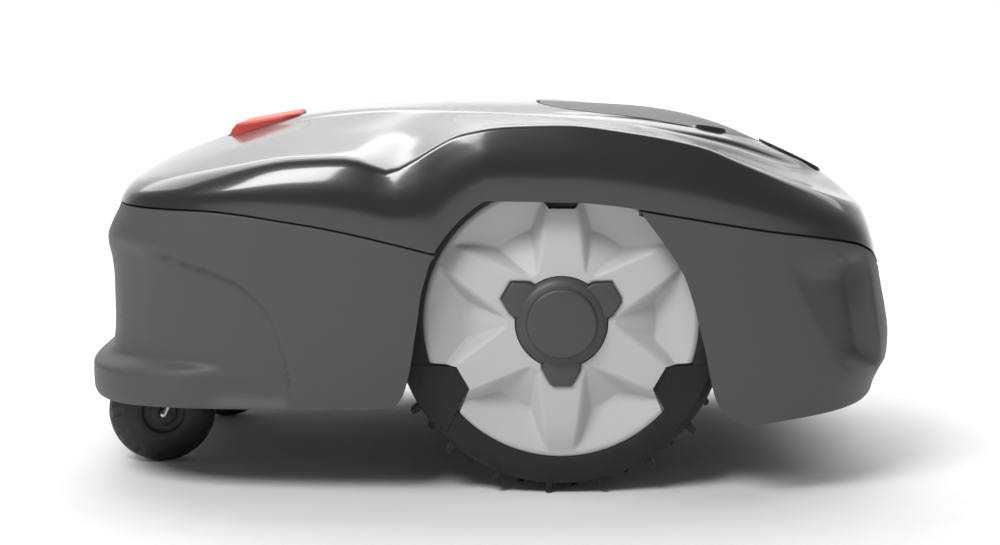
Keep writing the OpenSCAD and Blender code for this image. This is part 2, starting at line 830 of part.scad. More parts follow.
module drive_motor_left() {
  color("gray") drive_motor();
}

module drive_motor_right() {
  color("gray") mirror([0, 1, 0]) drive_motor();
}

module motor_screws() {
  color("silver")
    for (side = [0, 1])
      mirror([0, side, 0])
        for (a = [45 : 90 : 315])
          along_y(flange_y, 2.5)
            translate((gear_r + 4.5) * [cos(a), sin(a)]) circle(r = 3);
}

// Wheel of the left side; the right one is its mirror image
spoke_top = [[cap_r + 3.5, 0], [70, -0.6], [80, -2.4], [hub_r - 3, -4.4]];
valley_top = [[33, 1], [37, -1.5], [62, -13], [hub_r - 4.5, -4.6], [hub_r - 4.5, 6], [33, 6]];
rim_w = tyre_w - 4;

// Revolves a profile of [radius, height over the hub's face] about the wheel's axle
module wheel_turn(profile) {
  translate([wheel_x, hub_face, wheel_z])
    rotate([-90, 0, 0])
      rotate_extrude($fn = 120)
        polygon(profile);
}

// Lays a flat outline, seen from outside, on the wheel between two heights over the hub's face
module wheel_lay(low, up) {
  translate([wheel_x, hub_face + up, wheel_z])
    rotate([90, 0, 0])
      linear_extrude(up - low) children();
}

module sector(r0, r1, a0, a1, turn) {
  polygon([
    r0 * [cos(turn - a0), sin(turn - a0)], r1 * [cos(turn - a1), sin(turn - a1)],
    r1 / cos(a1) * [cos(turn), sin(turn)] * 1.02, r1 * [cos(turn + a1), sin(turn + a1)],
    r0 * [cos(turn + a0), sin(turn + a0)]
  ]);
}

pocket_tip = 35;
pocket_round = 4;
pocket_slope = 37;
module pocket_outline(turn) {
  far = hub_r + 10;
  c = pocket_tip + pocket_round;
  wide = (far - c) * tan(pocket_slope) + pocket_round / cos(pocket_slope);
  tip = [
    for (k = [-4 : 4])
      let (a = 180 + k * (90 - pocket_slope) / 4)
      [c + pocket_round * cos(a), pocket_round * sin(a)]
  ];
  rotate(turn)
    polygon(concat([[far, wide]], tip, [[far, -wide]]));
}

notch_r = 74;
notch_in = 6.5;
notch_out = 14.5;
notch_depth = 9;
lobe_turns = [30, 150, 270];
notch_turns = [90, 210, 330];
boss_r = 17;
module hub() {
  back = -rim_w - 2;
  color([0.72, 0.72, 0.72])
    difference() {
      union() {
        wheel_turn([
          [shaft_r + run_gap, -18], [cap_r - 8, -18], [cap_r + 0.3, -6.5], [cap_r + 0.3, -2.5], each spoke_top,
          [hub_r - 1, -4.4], [hub_r, -5.4], [hub_r, back], [hub_r - 5, back], [hub_r - 5, -21], [hub_r - 12, -17],
          [62, -17], [boss_r, -24], [boss_r, back - 8], [shaft_r + run_gap, back - 8]
        ]);
      }
      for (k = [0 : 5])
        intersection() {
          wheel_turn(valley_top);
          wheel_lay(-20, 8) pocket_outline(k * 60);
        }
      for (t = notch_turns)
        wheel_lay(-notch_depth, 8) sector(notch_r, hub_r + 6, notch_in, notch_out, t);
      for (t = lobe_turns)
        wheel_lay(-6, 8) lobe_outline(t, 0.4);
    }
}

// Trapezoid lobe of the hub cap
lobe_reach = 41;
lobe_root = 11.8;
lobe_tip = 6.4;
module lobe_outline(turn, gap) {
  rotate(turn)
    polygon([
      [cap_r - 10, -lobe_root - gap], [cap_r + 1, -lobe_root - gap], [lobe_reach + gap, -lobe_tip - gap],
      [lobe_reach + gap, lobe_tip + gap], [cap_r + 1, lobe_root + gap], [cap_r - 10, lobe_root + gap]
    ]);
}

module hub_cap() {
  color([0.28, 0.28, 0.29])
    union() {
      wheel_turn([
        [0, -5.5], [cap_r - 2, -5.5], [cap_r, -4], [cap_r, -1], [cap_r - 3, 3.5], [cap_r - 7, 5], [cap_r - 7.6, 8],
        [cap_r - 9, 9], [0, 9]
      ]);
      for (t = lobe_turns)
        wheel_lay(-5.5, 2.5) lobe_outline(t, 0);
    }
}

// Tyre with tabs that fill the hub's notches, and two staggered rows of lugs
lug_phase = 4;
lug_root = 2;
module tyre() {
  side = tyre_out - hub_face;
  step = 360 / lug_count;
  color([0.07, 0.07, 0.07])
    union() {
      wheel_turn([
        [hub_r, side - 0.6], [hub_r + 2, side], [tyre_r - 5, side], [tyre_r - 1.6, side - 1.5], [tyre_r, side - 5],
        [tyre_r, side - tyre_w + 5], [tyre_r - 1.6, side - tyre_w + 1.5], [tyre_r - 5, side - tyre_w],
        [hub_r, side - tyre_w]
      ]);
      for (t = notch_turns)
        wheel_lay(-notch_depth + 0.2, side + 0.7)
          difference() {
            sector(notch_r + 0.4, tyre_r - 3, notch_in - 0.3, notch_out - 0.3, t);
            circle(r = notch_r - 2, $fn = 90);
          }
      for (row = [0, 1], k = [0 : lug_count - 1])
        lug(270 - lug_phase + step * (k + row / 2), side - 3 - row * tyre_w / 2);
    }
}

module lug(turn, top) {
  translate([wheel_x, hub_face + top, wheel_z])
    rotate([0, -turn, 0])
      translate([tyre_r - lug_root, -tyre_w / 2 + 5, -lug_w / 2])
        cube([lug_r - tyre_r + lug_root, tyre_w / 2 - 5, lug_w]);
}

module wheel_shaft() {
  from = gear_in + 18;
  color("lightgray")
    union() {
      along_y(from, hub_face - 12 - from) circle(r = shaft_r);
      along_y(hub_face - 18, 9) circle(r = shaft_r + 5);
    }
}

module tyre_left() tyre();
module tyre_right() mirror([0, 1, 0]) tyre();
module hub_left() hub();
module hub_right() mirror([0, 1, 0]) hub();
module hub_cap_left() hub_cap();
module hub_cap_right() mirror([0, 1, 0]) hub_cap();
module wheel_shaft_left() wheel_shaft();
module wheel_shaft_right() mirror([0, 1, 0]) wheel_shaft();

// Caster: the rod passes through the wheel, climbs beside it and turns up into its bush
rod_side = caster_w / 2 + 6;
rod_cross = caster_top + 4;
rod_lean = 0.5;
rod_elbow = 0.15;
function caster_corner(k) =
  k == 0 ? [-caster_trail, -caster_w / 2 - 2, caster_r]
  : k == 1 ? [-caster_trail, rod_side, caster_r]
  : k == 2 ? [rod_lean * (rod_cross - caster_r) - caster_trail, rod_side, rod_cross]
  : k == 3 ? [0, 0, rod_cross]
  : [0, 0, rod_top - 2];

module bar(p, q, r) {
  v = q - p;
  translate(p)
    rotate([0, acos(v.z / norm(v)), atan2(v.y, v.x)])
      cylinder(r = r, h = norm(v));
}

// Puts children at a caster: side is -1 on the right and 1 on the left, turned to its resting angle
module at_caster(side) {
  translate([caster_x, side * caster_y, 0])
    rotate([0, 0, side < 0 ? caster_turn_right : caster_turn_left])
      mirror([0, side < 0 ? 1 : 0, 0]) children();
}

module caster_rod(side) {
  color("lightgray")
    at_caster(side)
      union() {
        for (k = [0 : 3])
          bar(caster_corner(k), caster_corner(k + 1), rod_r);
        for (k = [1 : 3])
          translate(caster_corner(k)) sphere(r = rod_r + rod_elbow);
      }
}

// Turns a profile of [radius, sideways place] about a caster's axle
module caster_turn(profile) {
  translate([-caster_trail, 0, caster_r])
    rotate([-90, 0, 0])
      rotate_extrude($fn = 96)
        polygon(profile);
}

groove_count = 24;
module caster_wheel(side) {
  w = caster_w / 2;
  bore = rod_r + run_gap;
  color([0.06, 0.06, 0.06])
    at_caster(side)
      difference() {
        caster_turn([
          [bore, -w], [9, -w], [9, -w + 2.5], [14, -w + 2.5], [15, -w + 1], [21, -w + 1], [27, -w + 3], [33, -w + 7],
          [caster_r - 1.2, -w / 3], [caster_r, 0], [caster_r - 1.2, w / 3], [33, w - 7], [27, w - 3], [21, w - 1],
          [15, w - 1], [14, w - 2.5], [9, w - 2.5], [9, w], [bore, w]
        ]);
        for (k = [0 : groove_count - 1])
          translate([-caster_trail, 0, caster_r])
            rotate([0, k * 360 / groove_count + 4, 0])
              translate([caster_r - 1, k % 2 == 0 ? 2 : -10, -1.2])
                cube([4, 8, 2.4]);
      }
}

module caster_clip(side) {
  color("gray")
    at_caster(side)
      caster_turn([
        [rod_r, -caster_w / 2 - 2], [6.5, -caster_w / 2 - 2], [6.5, -caster_w / 2 - slide_gap],
        [rod_r, -caster_w / 2 - slide_gap]
      ]);
}

module caster_rod_right() caster_rod(-1);
module caster_rod_left() caster_rod(1);
module caster_wheel_right() caster_wheel(-1);
module caster_wheel_left() caster_wheel(1);
module caster_clip_right() caster_clip(-1);
module caster_clip_left() caster_clip(1);

module caster_bushes() {
  color([0.85, 0.83, 0.78])
    caster_places()
      translate([0, 0, rear_floor_z])
        difference() {
          union() {
            cylinder(r = bush_r, h = rod_top - rear_floor_z - 1);
            translate([0, 0, -2])
              cylinder(r = bush_r + 3, h = 2);
          }
          translate([0, 0, -3])
            cylinder(r = rod_r + run_gap, h = rod_top - rear_floor_z + 3);
        }
}

// Two contact strips let into the underside at the front of the chassis, for charging
contact_x = tub_front - 62;
contact_y = 34;
contact_l = 50;
contact_w = 12;
contact_z = floor_z + 0.4;
contact_t = 1.2;
module contact_strips(gap, z) {
  for (y = [-contact_y, contact_y])
    translate([contact_x - gap, y - contact_w / 2 - gap, z])
      cube([contact_l + 2 * gap, contact_w + 2 * gap, contact_z + contact_t - z]);
}

module charge_contacts() {
  color([0.8, 0.6, 0.35])
    contact_strips(0, contact_z);
}

// Control panel under the hatch
key_l = 11;
key_w = 15;
key_x = console_front - 19;
key_pitch = 23;
key_travel = 1;
lens_x0 = cut_x + 34;
lens_x1 = key_x - 14;
lens_half = 34;
lens_t = 2;
function key_y(k) = (k - 1.5) * key_pitch;
module control_panel() {
  color([0.22, 0.22, 0.23])
    difference() {
      slab(console_rear, console_front, console_half, console_corner, panel_z, panel_z + panel_t);
      slab(lens_x0 - 0.2, lens_x1 + 0.2, lens_half + 0.2, 4, panel_z + panel_t - lens_t, panel_z + panel_t + 1);
      translate([cut_x, 0, panel_z - 1])
        cylinder(r = spindle_r + run_gap, h = panel_t + 2);
      for (k = [0 : 3])
        translate([key_x - key_l / 2 - slide_gap, key_y(k) - key_w / 2 - slide_gap, panel_z - 1])
          cube([key_l + 2 * slide_gap, key_w + 2 * slide_gap, panel_t + 2]);
    }
}

module display_lens() {
  color([0.1, 0.14, 0.14])
    slab(lens_x0, lens_x1, lens_half, 4, panel_z + panel_t - lens_t, panel_z + panel_t + 0.4);
}

// Board under the keys, held by four pegs
key_low = panel_z - 4;
board_t = 1.6;
keyboard_half = 12;
keys_half = key_y(3) + key_w / 2 + 4;
key_room = 1;
module keypad_board() {
  z = key_low - key_travel - slide_gap - board_t;
  color([0.1, 0.35, 0.18])
    union() {
      slab(key_x - keyboard_half, key_x + keyboard_half, keys_half, 2, z, z + board_t);
      for (x = [key_x - keyboard_half + 3, key_x + keyboard_half - 3], y = [2 - keys_half, keys_half - 2])
        translate([x, y, z])
          cylinder(r = 1.8, h = panel_z - z, $fn = 24);
    }
}

module key_at(k) {
  translate([0, key_y(k), 0])
    color([0.45, 0.45, 0.46])
      slab(key_x - key_l / 2, key_x + key_l / 2, key_w / 2, 2, key_low, panel_z + panel_t + 2.5);
}

module key_back() key_at(0);
module key_down() key_at(1);
module key_up() key_at(2);
module key_ok() key_at(3);

// Main switch in the chassis floor
switch_x = mix(cut_x + carriage_r, tub_front, 0.37);
switch_l = 26;
switch_w = 18;
switch_wall = 2.5;
switch_h = 18;
switch_z = floor_z + 0.3;
switch_flange = 2;
switch_pin_r = 2;
rocker_z = floor_z + 4;
switch_pin_z = rocker_z + 5;
module switch_housing() {
  color([0.1, 0.1, 0.1])
    difference() {
      union() {
        translate([switch_x - switch_l / 2, -switch_w / 2, switch_z])
          cube([switch_l, switch_w, switch_h]);
        translate([switch_x - switch_l / 2 - switch_flange, -switch_w / 2 - switch_flange, floor_z + tub_wall])
          cube([switch_l + 2 * switch_flange, switch_w + 2 * switch_flange, switch_flange]);
      }
      translate([switch_x - switch_l / 2 + switch_wall, -switch_w / 2 + switch_wall, switch_z - 1])
        cube([switch_l - 2 * switch_wall, switch_w - 2 * switch_wall, switch_h + 1 - switch_wall]);
      translate([switch_x, switch_w / 2 - 0.5, switch_pin_z])
        rotate([90, 0, 0])
          cylinder(r = switch_pin_r + run_gap, h = switch_w - 1);
    }
}

module switch_rocker() {
  half_l = switch_l / 2 - switch_wall - 1.2;
  inner_w = switch_w - 2 * switch_wall - 2 * slide_gap;
  color([0.75, 0.15, 0.12])
    union() {
      translate([switch_x, inner_w / 2, 0])
        rotate([90, 0, 0])
          linear_extrude(inner_w)
            polygon([
              [-half_l, rocker_z - 2.5], [0, rocker_z - 0.5], [half_l, rocker_z - 2.5], [half_l - 1, rocker_z + 3],
              [2.5, rocker_z + 8], [-2.5, rocker_z + 8], [1 - half_l, rocker_z + 3]
            ]);
      translate([switch_x, switch_w / 2 - 0.8, switch_pin_z])
        rotate([90, 0, 0])
          cylinder(r = switch_pin_r, h = switch_w - 1.6);
    }
}

// Cutting height: the knob turns a spindle in the nut on the cutter's carriage
knob_r = 21;
knob_h = 18;
module height_knob() {
  color([0.3, 0.3, 0.3])
    translate([cut_x, 0, knob_z])
      difference() {
        union() {
          cylinder(r = knob_r, h = knob_h - 6);
          cylinder(r = knob_r - 3, h = knob_h);
        }
        for (a = [0 : 45 : 315])
          rotate([0, 0, a])
            translate([knob_r + 3, 0, -1])
              cylinder(r = 5.5, h = knob_h + 2);
        translate([0, 0, -1])
          cylinder(r = spindle_r, h = knob_h - 5);
      }
}

module height_spindle() {
  color("lightgray")
    translate([cut_x, 0, spindle_z])
      cylinder(r = spindle_r, h = knob_z + knob_h - 6 - spindle_z);
}

module cutter_carriage() {
  color([0.2, 0.2, 0.2])
    translate([cut_x, 0, carriage_z])
      difference() {
        union() {
          cylinder(r = carriage_r, h = carriage_h);
          cylinder(r = spindle_r + 5, h = carriage_h + nut_h);
        }
        translate([0, 0, 4])
          cylinder(r = carriage_r - carriage_wall, h = carriage_h - 8);
        translate([0, 0, -1])
          cylinder(r = motor_shaft_r + 3, h = 10);
        translate([0, 0, carriage_h - 2])
          cylinder(r = spindle_r + run_gap, h = nut_h + 4);
      }
}

motor_body_r = carriage_r - carriage_wall - 3;
module cutting_motor() {
  color("gray")
    translate([cut_x, 0, carriage_z + 4])
      difference() {
        union() {
          cylinder(r = motor_body_r, h = carriage_h - 16);
          cylinder(r = carriage_r - carriage_wall, h = 4);
        }
        translate([0, 0, -1])
          cylinder(r = motor_shaft_r + run_gap, h = 24);
      }
}

module disc_shaft() {
  color("lightgray")
    translate([cut_x, 0, disc_z + disc_t])
      cylinder(r = motor_shaft_r, h = carriage_z + 20 - disc_z - disc_t);
}

// Blade disc with a raised boss, lightening holes and a turned-down rim
module blade_disc() {
  color([0.35, 0.35, 0.36])
    translate([cut_x, 0, disc_z])
      difference() {
        union() {
          cylinder(r = disc_r, h = disc_t);
          cylinder(r1 = 24, r2 = 15, h = disc_t + 9);
        }
        for (k = [0 : 5])
          rotate([0, 0, k * 60 + 30])
            translate([disc_r * 0.6, 0, -1])
              cylinder(r = 8, h = disc_t + 2);
        for (k = [0 : blade_count - 1])
          rotate([0, 0, k * 360 / blade_count])
            translate([blade_pivot_r, 0, -1])
              cylinder(r = blade_screw_r, h = disc_t + 2);
        translate([0, 0, -1])
          cylinder(r = bolt_r, h = disc_t + 1);
        translate([0, 0, disc_t])
          cylinder(r = motor_shaft_r, h = 12);
      }
}

// Shoulder bolt that carries the skid plate under the disc
module disc_bolt() {
  color("silver")
    translate([cut_x, 0, skid_z - slide_gap - 3])
      union() {
        cylinder(r = bolt_r + 5, h = 3);
        cylinder(r = bolt_r, h = disc_z + disc_t - skid_z + slide_gap + 3);
      }
}

module blade_screws() {
  color("silver")
    for (k = [0 : blade_count - 1])
      translate([cut_x, 0, 0])
        rotate([0, 0, k * 360 / blade_count])
          translate([blade_pivot_r, 0, cut_h - slide_gap - 2.4]) {
            cylinder(r = blade_screw_r + 2.5, h = 2.4);
            cylinder(r = blade_screw_r, h = disc_z + disc_t - cut_h + slide_gap + 2.4);
          }
}

// Small razor blade with sharpened long edges, free to turn on its screw
blade_half = 9;
module blade(k) {
  tip = cut_r - blade_pivot_r;
  color("silver")
    translate([cut_x, 0, cut_h])
      rotate([0, 0, k * 360 / blade_count])
        translate([blade_pivot_r, 0, 0])
          difference() {
            linear_extrude(blade_t)
              polygon([[-5, -6], [-2, -blade_half], [tip, -blade_half], [tip, blade_half], [-2, blade_half], [-5, 6]]);
            translate([0, 0, -1])
              cylinder(r = blade_screw_r + run_gap, h = blade_t + 2);
            translate([tip * 0.6, 0, -1])
              cylinder(r = 2.5, h = blade_t + 2);
          }
}

module blade_1() blade(0);
module blade_2() blade(1);
module blade_3() blade(2);

// Skid plate under the blades: a shallow dish that turns freely on the bolt
skid_r = 56;
module skid_plate() {
  color([0.18, 0.18, 0.18])
    translate([cut_x, 0, skid_z])
      difference() {
        rotate_extrude($fn = 120)
          polygon([
            [bolt_r + run_gap, 0], [skid_r - 8, 0], [skid_r, 4], [skid_r, 4 + skid_t], [skid_r - 8.5, skid_t], [13, skid_t],
            [13, 9], [bolt_r + run_gap, 9]
          ]);
        for (k = [0 : 5])
          rotate([0, 0, k * 60])
            translate([30, 0, -1])
              cylinder(r = 6, h = skid_t + 2);
      }
}

top_cover();
rear_skirt();
front_skirt();
hatch();
hatch_hinge();
hatch_pin();
nose_plate();
stop_button();
stop_housing();
stop_spring();
suspension_posts();
suspension_cups();
chassis_lower();
chassis_upper();
chassis_seal();
chassis_screws();
battery();
board_standoffs();
main_board();
drive_motor_right();
drive_motor_left();
motor_screws();
caster_bushes();
charge_contacts();
control_panel();
display_lens();
keypad_board();
key_back();
key_down();
key_up();
key_ok();
switch_housing();
switch_rocker();
height_knob();
height_spindle();
cutter_carriage();
cutting_motor();
blade_disc();
disc_shaft();
disc_bolt();
blade_screws();
blade_1();
blade_2();
blade_3();
skid_plate();
tyre_right();
tyre_left();
hub_right();
hub_left();
hub_cap_right();
hub_cap_left();
wheel_shaft_right();
wheel_shaft_left();
caster_rod_right();
caster_rod_left();
caster_wheel_right();
caster_wheel_left();
caster_clip_right();
caster_clip_left();
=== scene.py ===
import bpy
import bmesh
import json
from bisect import bisect_right
from math import atan2, cos, degrees, hypot, pi, radians, sin, sqrt
from mathutils import Matrix, Vector

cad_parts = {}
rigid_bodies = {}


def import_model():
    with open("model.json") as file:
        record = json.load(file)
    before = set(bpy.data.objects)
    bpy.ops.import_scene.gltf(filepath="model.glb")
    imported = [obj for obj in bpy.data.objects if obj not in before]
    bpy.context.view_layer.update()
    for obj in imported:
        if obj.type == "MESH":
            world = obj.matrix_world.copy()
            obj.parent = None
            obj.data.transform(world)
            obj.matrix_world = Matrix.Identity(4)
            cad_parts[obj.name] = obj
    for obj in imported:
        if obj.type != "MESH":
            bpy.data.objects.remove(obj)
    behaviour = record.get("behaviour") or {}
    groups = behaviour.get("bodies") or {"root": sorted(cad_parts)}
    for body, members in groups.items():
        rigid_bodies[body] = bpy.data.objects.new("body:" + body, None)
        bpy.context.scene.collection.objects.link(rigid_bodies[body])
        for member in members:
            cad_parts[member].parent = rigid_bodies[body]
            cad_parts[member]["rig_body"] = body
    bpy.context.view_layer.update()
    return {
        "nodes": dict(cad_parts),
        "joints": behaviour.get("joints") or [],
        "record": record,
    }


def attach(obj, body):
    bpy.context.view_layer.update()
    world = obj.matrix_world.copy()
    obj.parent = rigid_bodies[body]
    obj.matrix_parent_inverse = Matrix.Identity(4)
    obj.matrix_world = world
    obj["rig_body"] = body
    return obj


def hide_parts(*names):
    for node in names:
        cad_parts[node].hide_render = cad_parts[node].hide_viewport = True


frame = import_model()
nodes = frame["nodes"]
scene = bpy.context.scene
mm = 0.001
slotOf = {part["node"]: part["material_slot"] for part in frame["record"]["subparts"]}
print("frame loaded:", len(nodes), "nodes")


def curveThrough(points):
    xs = [p[0] for p in points]
    zs = [p[1] for p in points]
    steps = [xs[i + 1] - xs[i] for i in range(len(xs) - 1)]
    slopes = [(zs[i + 1] - zs[i]) / steps[i] for i in range(len(steps))]
    tangents = [slopes[0]]
    for a, b in zip(slopes, slopes[1:]):
        tangents.append(0 if a * b <= 0 else 2 * a * b / (a + b))
    tangents.append(slopes[-1])

    def at(x):
        x = min(max(x, xs[0]), xs[-1])
        i = min(max(bisect_right(xs, x) - 1, 0), len(steps) - 1)
        t = (x - xs[i]) / steps[i]
        s = t * t * (3 - 2 * t)
        h = steps[i]
        return (zs[i] * (1 - s) + zs[i + 1] * s
                + h * t * (1 - t) * ((1 - t) * tangents[i] - t * tangents[i + 1]))
    return at


def softCurve(points, blur):
    at = curveThrough(points)
    return lambda x: sum(at(x + blur * k / 3) for k in range(-3, 4)) / 7


def mix(a, b, t):
    return a + (b - a) * t


def ease(t):
    t = min(max(t, 0), 1)
    return t * t * (3 - 2 * t)


def planPoint(angle, outline, inset=0):
    mid, rearHalf, frontHalf, halfWidth, rearPower, frontPower = outline
    c, s = cos(angle), sin(angle)
    power = rearPower if c < 0 else frontPower
    k = (abs(c) ** power + abs(s) ** power) ** (-1 / power)
    halfLength = rearHalf if c < 0 else frontHalf
    return mid + (halfLength - inset) * c * k, (halfWidth - inset) * s * k


def edgeAngle(distance, halfLength, power):
    share = distance / halfLength
    return atan2((1 - share ** power) ** (1 / power), share)


def wrapGrid(columns, rows, place):
    bm = bmesh.new()                                   # a flat grid, laid on the form point by point
    bmesh.ops.create_grid(bm, x_segments=columns, y_segments=rows, size=0.5)
    xs = sorted({round(v.co.x, 6) for v in bm.verts})
    ys = sorted({round(v.co.y, 6) for v in bm.verts})
    column = {x: i for i, x in enumerate(xs)}
    row = {y: i for i, y in enumerate(ys)}
    for v in bm.verts:
        v.co = Vector(place(column[round(v.co.x, 6)], row[round(v.co.y, 6)])) * mm
    bmesh.ops.remove_doubles(bm, verts=bm.verts, dist=1e-6)
    bmesh.ops.recalc_face_normals(bm, faces=bm.faces)
    return bm


def roundedPath(keys, rounds, arcSteps=5, runSteps=2):
    path = [keys[0]]                                   # corners of a section become short arcs
    for before, corner, after, size in zip(keys, keys[1:], keys[2:], rounds):
        back, ahead = before - corner, after - corner
        a = corner + back * min(size / max(back.length, 1e-6), 0.48)
        b = corner + ahead * min(size / max(ahead.length, 1e-6), 0.48)
        start = path[-1]
        path += [start.lerp(a, k / runSteps) for k in range(1, runSteps)]
        for k in range(arcSteps + 1):
            t = k / arcSteps
            path.append(a * (1 - t) ** 2 + corner * 2 * t * (1 - t) + b * t * t)
    start = path[-1]
    path += [start.lerp(keys[-1], k / runSteps) for k in range(1, runSteps + 1)]
    return path


def lathe(bm, profile, centre, axis, reach, steps, closed=True):
    axis, reach = Vector(axis), Vector(reach)          # profile of (radius, place along the axis)
    centre = Vector(centre) * mm
    points = [bm.verts.new(centre + (reach * r + axis * u) * mm) for r, u in profile]
    edges = [bm.edges.new(pair) for pair in zip(points, points[1:])]
    if closed:
        edges.append(bm.edges.new((points[-1], points[0])))
    bmesh.ops.spin(bm, geom=points + edges, cent=centre, axis=axis, dvec=(0, 0, 0),
                   angle=2 * pi, steps=steps, use_merge=True, use_duplicate=False)
    bmesh.ops.remove_doubles(bm, verts=bm.verts, dist=1e-7)
    bmesh.ops.recalc_face_normals(bm, faces=bm.faces)


def prism(bm, outline, low, high, lift):
    base = [bm.verts.new(Vector(lift(p, low)) * mm) for p in outline]
    face = bm.faces.new(base)                          # outline drawn out between two levels
    out = bmesh.ops.extrude_face_region(bm, geom=[face])["geom"]
    move = (Vector(lift(outline[0], high)) - Vector(lift(outline[0], low))) * mm
    bmesh.ops.translate(bm, vec=move, verts=[g for g in out if isinstance(g, bmesh.types.BMVert)])
    bmesh.ops.recalc_face_normals(bm, faces=bm.faces)


def solidMesh(bm, name):
    mesh = bpy.data.meshes.new(name)
    bm.to_mesh(mesh)
    bm.free()
    return mesh


def newObject(name, bm):
    piece = bpy.data.objects.new(name, solidMesh(bm, name))
    scene.collection.objects.link(piece)
    return piece


def bake(piece):
    shape = bpy.context.evaluated_depsgraph_get()      # settle the modifiers into the mesh
    mesh = bpy.data.meshes.new_from_object(piece.evaluated_get(shape))
    piece.modifiers.clear()
    piece.data = mesh


def thicken(piece, wall):
    m = piece.modifiers.new("wall", "SOLIDIFY")
    m.thickness = wall * mm
    m.offset = -1
    m.use_even_offset = True
    m.use_quality_normals = True


def soften(piece, width, segments=2, angle=50):
    m = piece.modifiers.new("edges", "BEVEL")
    m.width = width * mm
    m.segments = segments
    m.limit_method = "ANGLE"
    m.angle_limit = radians(angle)
    m.use_clamp_overlap = True
    m.harden_normals = False


def cutAway(piece, bm):
    cutter = newObject("cutter", bm)
    m = piece.modifiers.new("cut", "BOOLEAN")
    m.object = cutter
    m.operation = "DIFFERENCE"
    m.solver = "EXACT"
    bake(piece)
    bpy.data.objects.remove(cutter, do_unlink=True)


def finishPiece(piece, body, material, stands=(), smooth=35):
    mesh = piece.data
    mesh.materials.clear()
    mesh.materials.append(material)
    for p in mesh.polygons:
        p.use_smooth = True
        p.material_index = 0
    mesh.set_sharp_from_angle(angle=radians(smooth))
    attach(piece, body)
    if stands:
        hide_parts(*stands)
    return piece


def cadCopy(node):
    bm = bmesh.new()
    bm.from_mesh(nodes[node].data)
    bmesh.ops.remove_doubles(bm, verts=bm.verts, dist=2e-6)
    return bm


def softCopy(node, width, segments=2, angle=40, flat=1.0):
    bm = cadCopy(node)
    bmesh.ops.dissolve_limit(bm, angle_limit=radians(flat), use_dissolve_boundaries=False, verts=bm.verts,
                             edges=bm.edges)
    name = "".join(w if i == 0 else w.title() for i, w in enumerate(node.split("_")))
    piece = newObject(name + "Piece", bm)
    if width:
        soften(piece, width, segments, angle)
    return piece


def addTo(bm, other):
    part = bpy.data.meshes.new("part")
    other.to_mesh(part)
    other.free()
    bm.from_mesh(part)


def mirrored(piece, name):
    bm = bmesh.new()
    bm.from_mesh(piece.data)
    bmesh.ops.scale(bm, vec=(1, -1, 1), verts=bm.verts)
    bmesh.ops.reverse_faces(bm, faces=bm.faces)
    return newObject(name, bm)


def newMaterial(name):
    material = bpy.data.materials.new(name)
    material.use_nodes = True
    tree = material.node_tree
    tree.nodes.clear()
    out = tree.nodes.new("ShaderNodeOutputMaterial")
    shader = tree.nodes.new("ShaderNodeBsdfPrincipled")
    tree.links.new(shader.outputs["BSDF"], out.inputs["Surface"])
    return material, tree, shader


def addNode(tree, kind, **settings):
    node = tree.nodes.new(kind)
    for key, value in settings.items():
        setattr(node, key, value)
    return node


def noiseOn(tree, scale, detail=2, stretch=(1, 1, 1), rough=0.5):
    coords = addNode(tree, "ShaderNodeTexCoord")
    mapping = addNode(tree, "ShaderNodeMapping")
    mapping.inputs["Scale"].default_value = stretch
    tree.links.new(coords.outputs["Object"], mapping.inputs["Vector"])
    noise = addNode(tree, "ShaderNodeTexNoise")
    noise.inputs["Scale"].default_value = scale
    noise.inputs["Detail"].default_value = detail
    noise.inputs["Roughness"].default_value = rough
    tree.links.new(mapping.outputs["Vector"], noise.inputs["Vector"])
    return noise


def rampTo(tree, source, socket, low, high, start=0.3, end=0.7):
    ramp = addNode(tree, "ShaderNodeValToRGB")
    ramp.color_ramp.elements[0].position = start
    ramp.color_ramp.elements[1].position = end
    ramp.color_ramp.elements[0].color = (*low, 1)
    ramp.color_ramp.elements[1].color = (*high, 1)
    tree.links.new(source, ramp.inputs["Fac"])
    tree.links.new(ramp.outputs["Color"], socket)
    return ramp


def rangeTo(tree, source, socket, low, high, start=0.3, end=0.7):
    spread = addNode(tree, "ShaderNodeMapRange")
    spread.inputs["From Min"].default_value = start
    spread.inputs["From Max"].default_value = end
    spread.inputs["To Min"].default_value = low
    spread.inputs["To Max"].default_value = high
    tree.links.new(source, spread.inputs["Value"])
    tree.links.new(spread.outputs["Result"], socket)


def bumpFrom(tree, shader, source, strength, distance, under=None):
    bump = addNode(tree, "ShaderNodeBump")
    bump.inputs["Strength"].default_value = strength
    bump.inputs["Distance"].default_value = distance
    tree.links.new(source, bump.inputs["Height"])
    if under:
        tree.links.new(under.outputs["Normal"], bump.inputs["Normal"])
    tree.links.new(bump.outputs["Normal"], shader.inputs["Normal"])
    return bump


def shade(color, k):
    return tuple(min(c * k, 1) for c in color)


def mouldedPlastic(name, look):
    material, tree, shader = newMaterial(name)
    broad = noiseOn(tree, look.get("broad", 9), 3)
    fine = noiseOn(tree, look.get("grain", 900), 2)
    spread = look.get("spread", 0.06)
    rampTo(tree, broad.outputs["Fac"], shader.inputs["Base Color"],
           shade(look["color"], 1 - spread), shade(look["color"], 1 + spread))
    rangeTo(tree, broad.outputs["Fac"], shader.inputs["Roughness"], look["rough"] - 0.03,
            look["rough"] + 0.03)
    bumpFrom(tree, shader, fine.outputs["Fac"], look.get("bump", 0.1), look.get("depth", 0.0001))
    shader.inputs["Specular IOR Level"].default_value = look.get("specular", 0.5)
    if "coat" in look:
        shader.inputs["Coat Weight"].default_value = look["coat"]
        shader.inputs["Coat Roughness"].default_value = look.get("coatRough", 0.08)
    return material


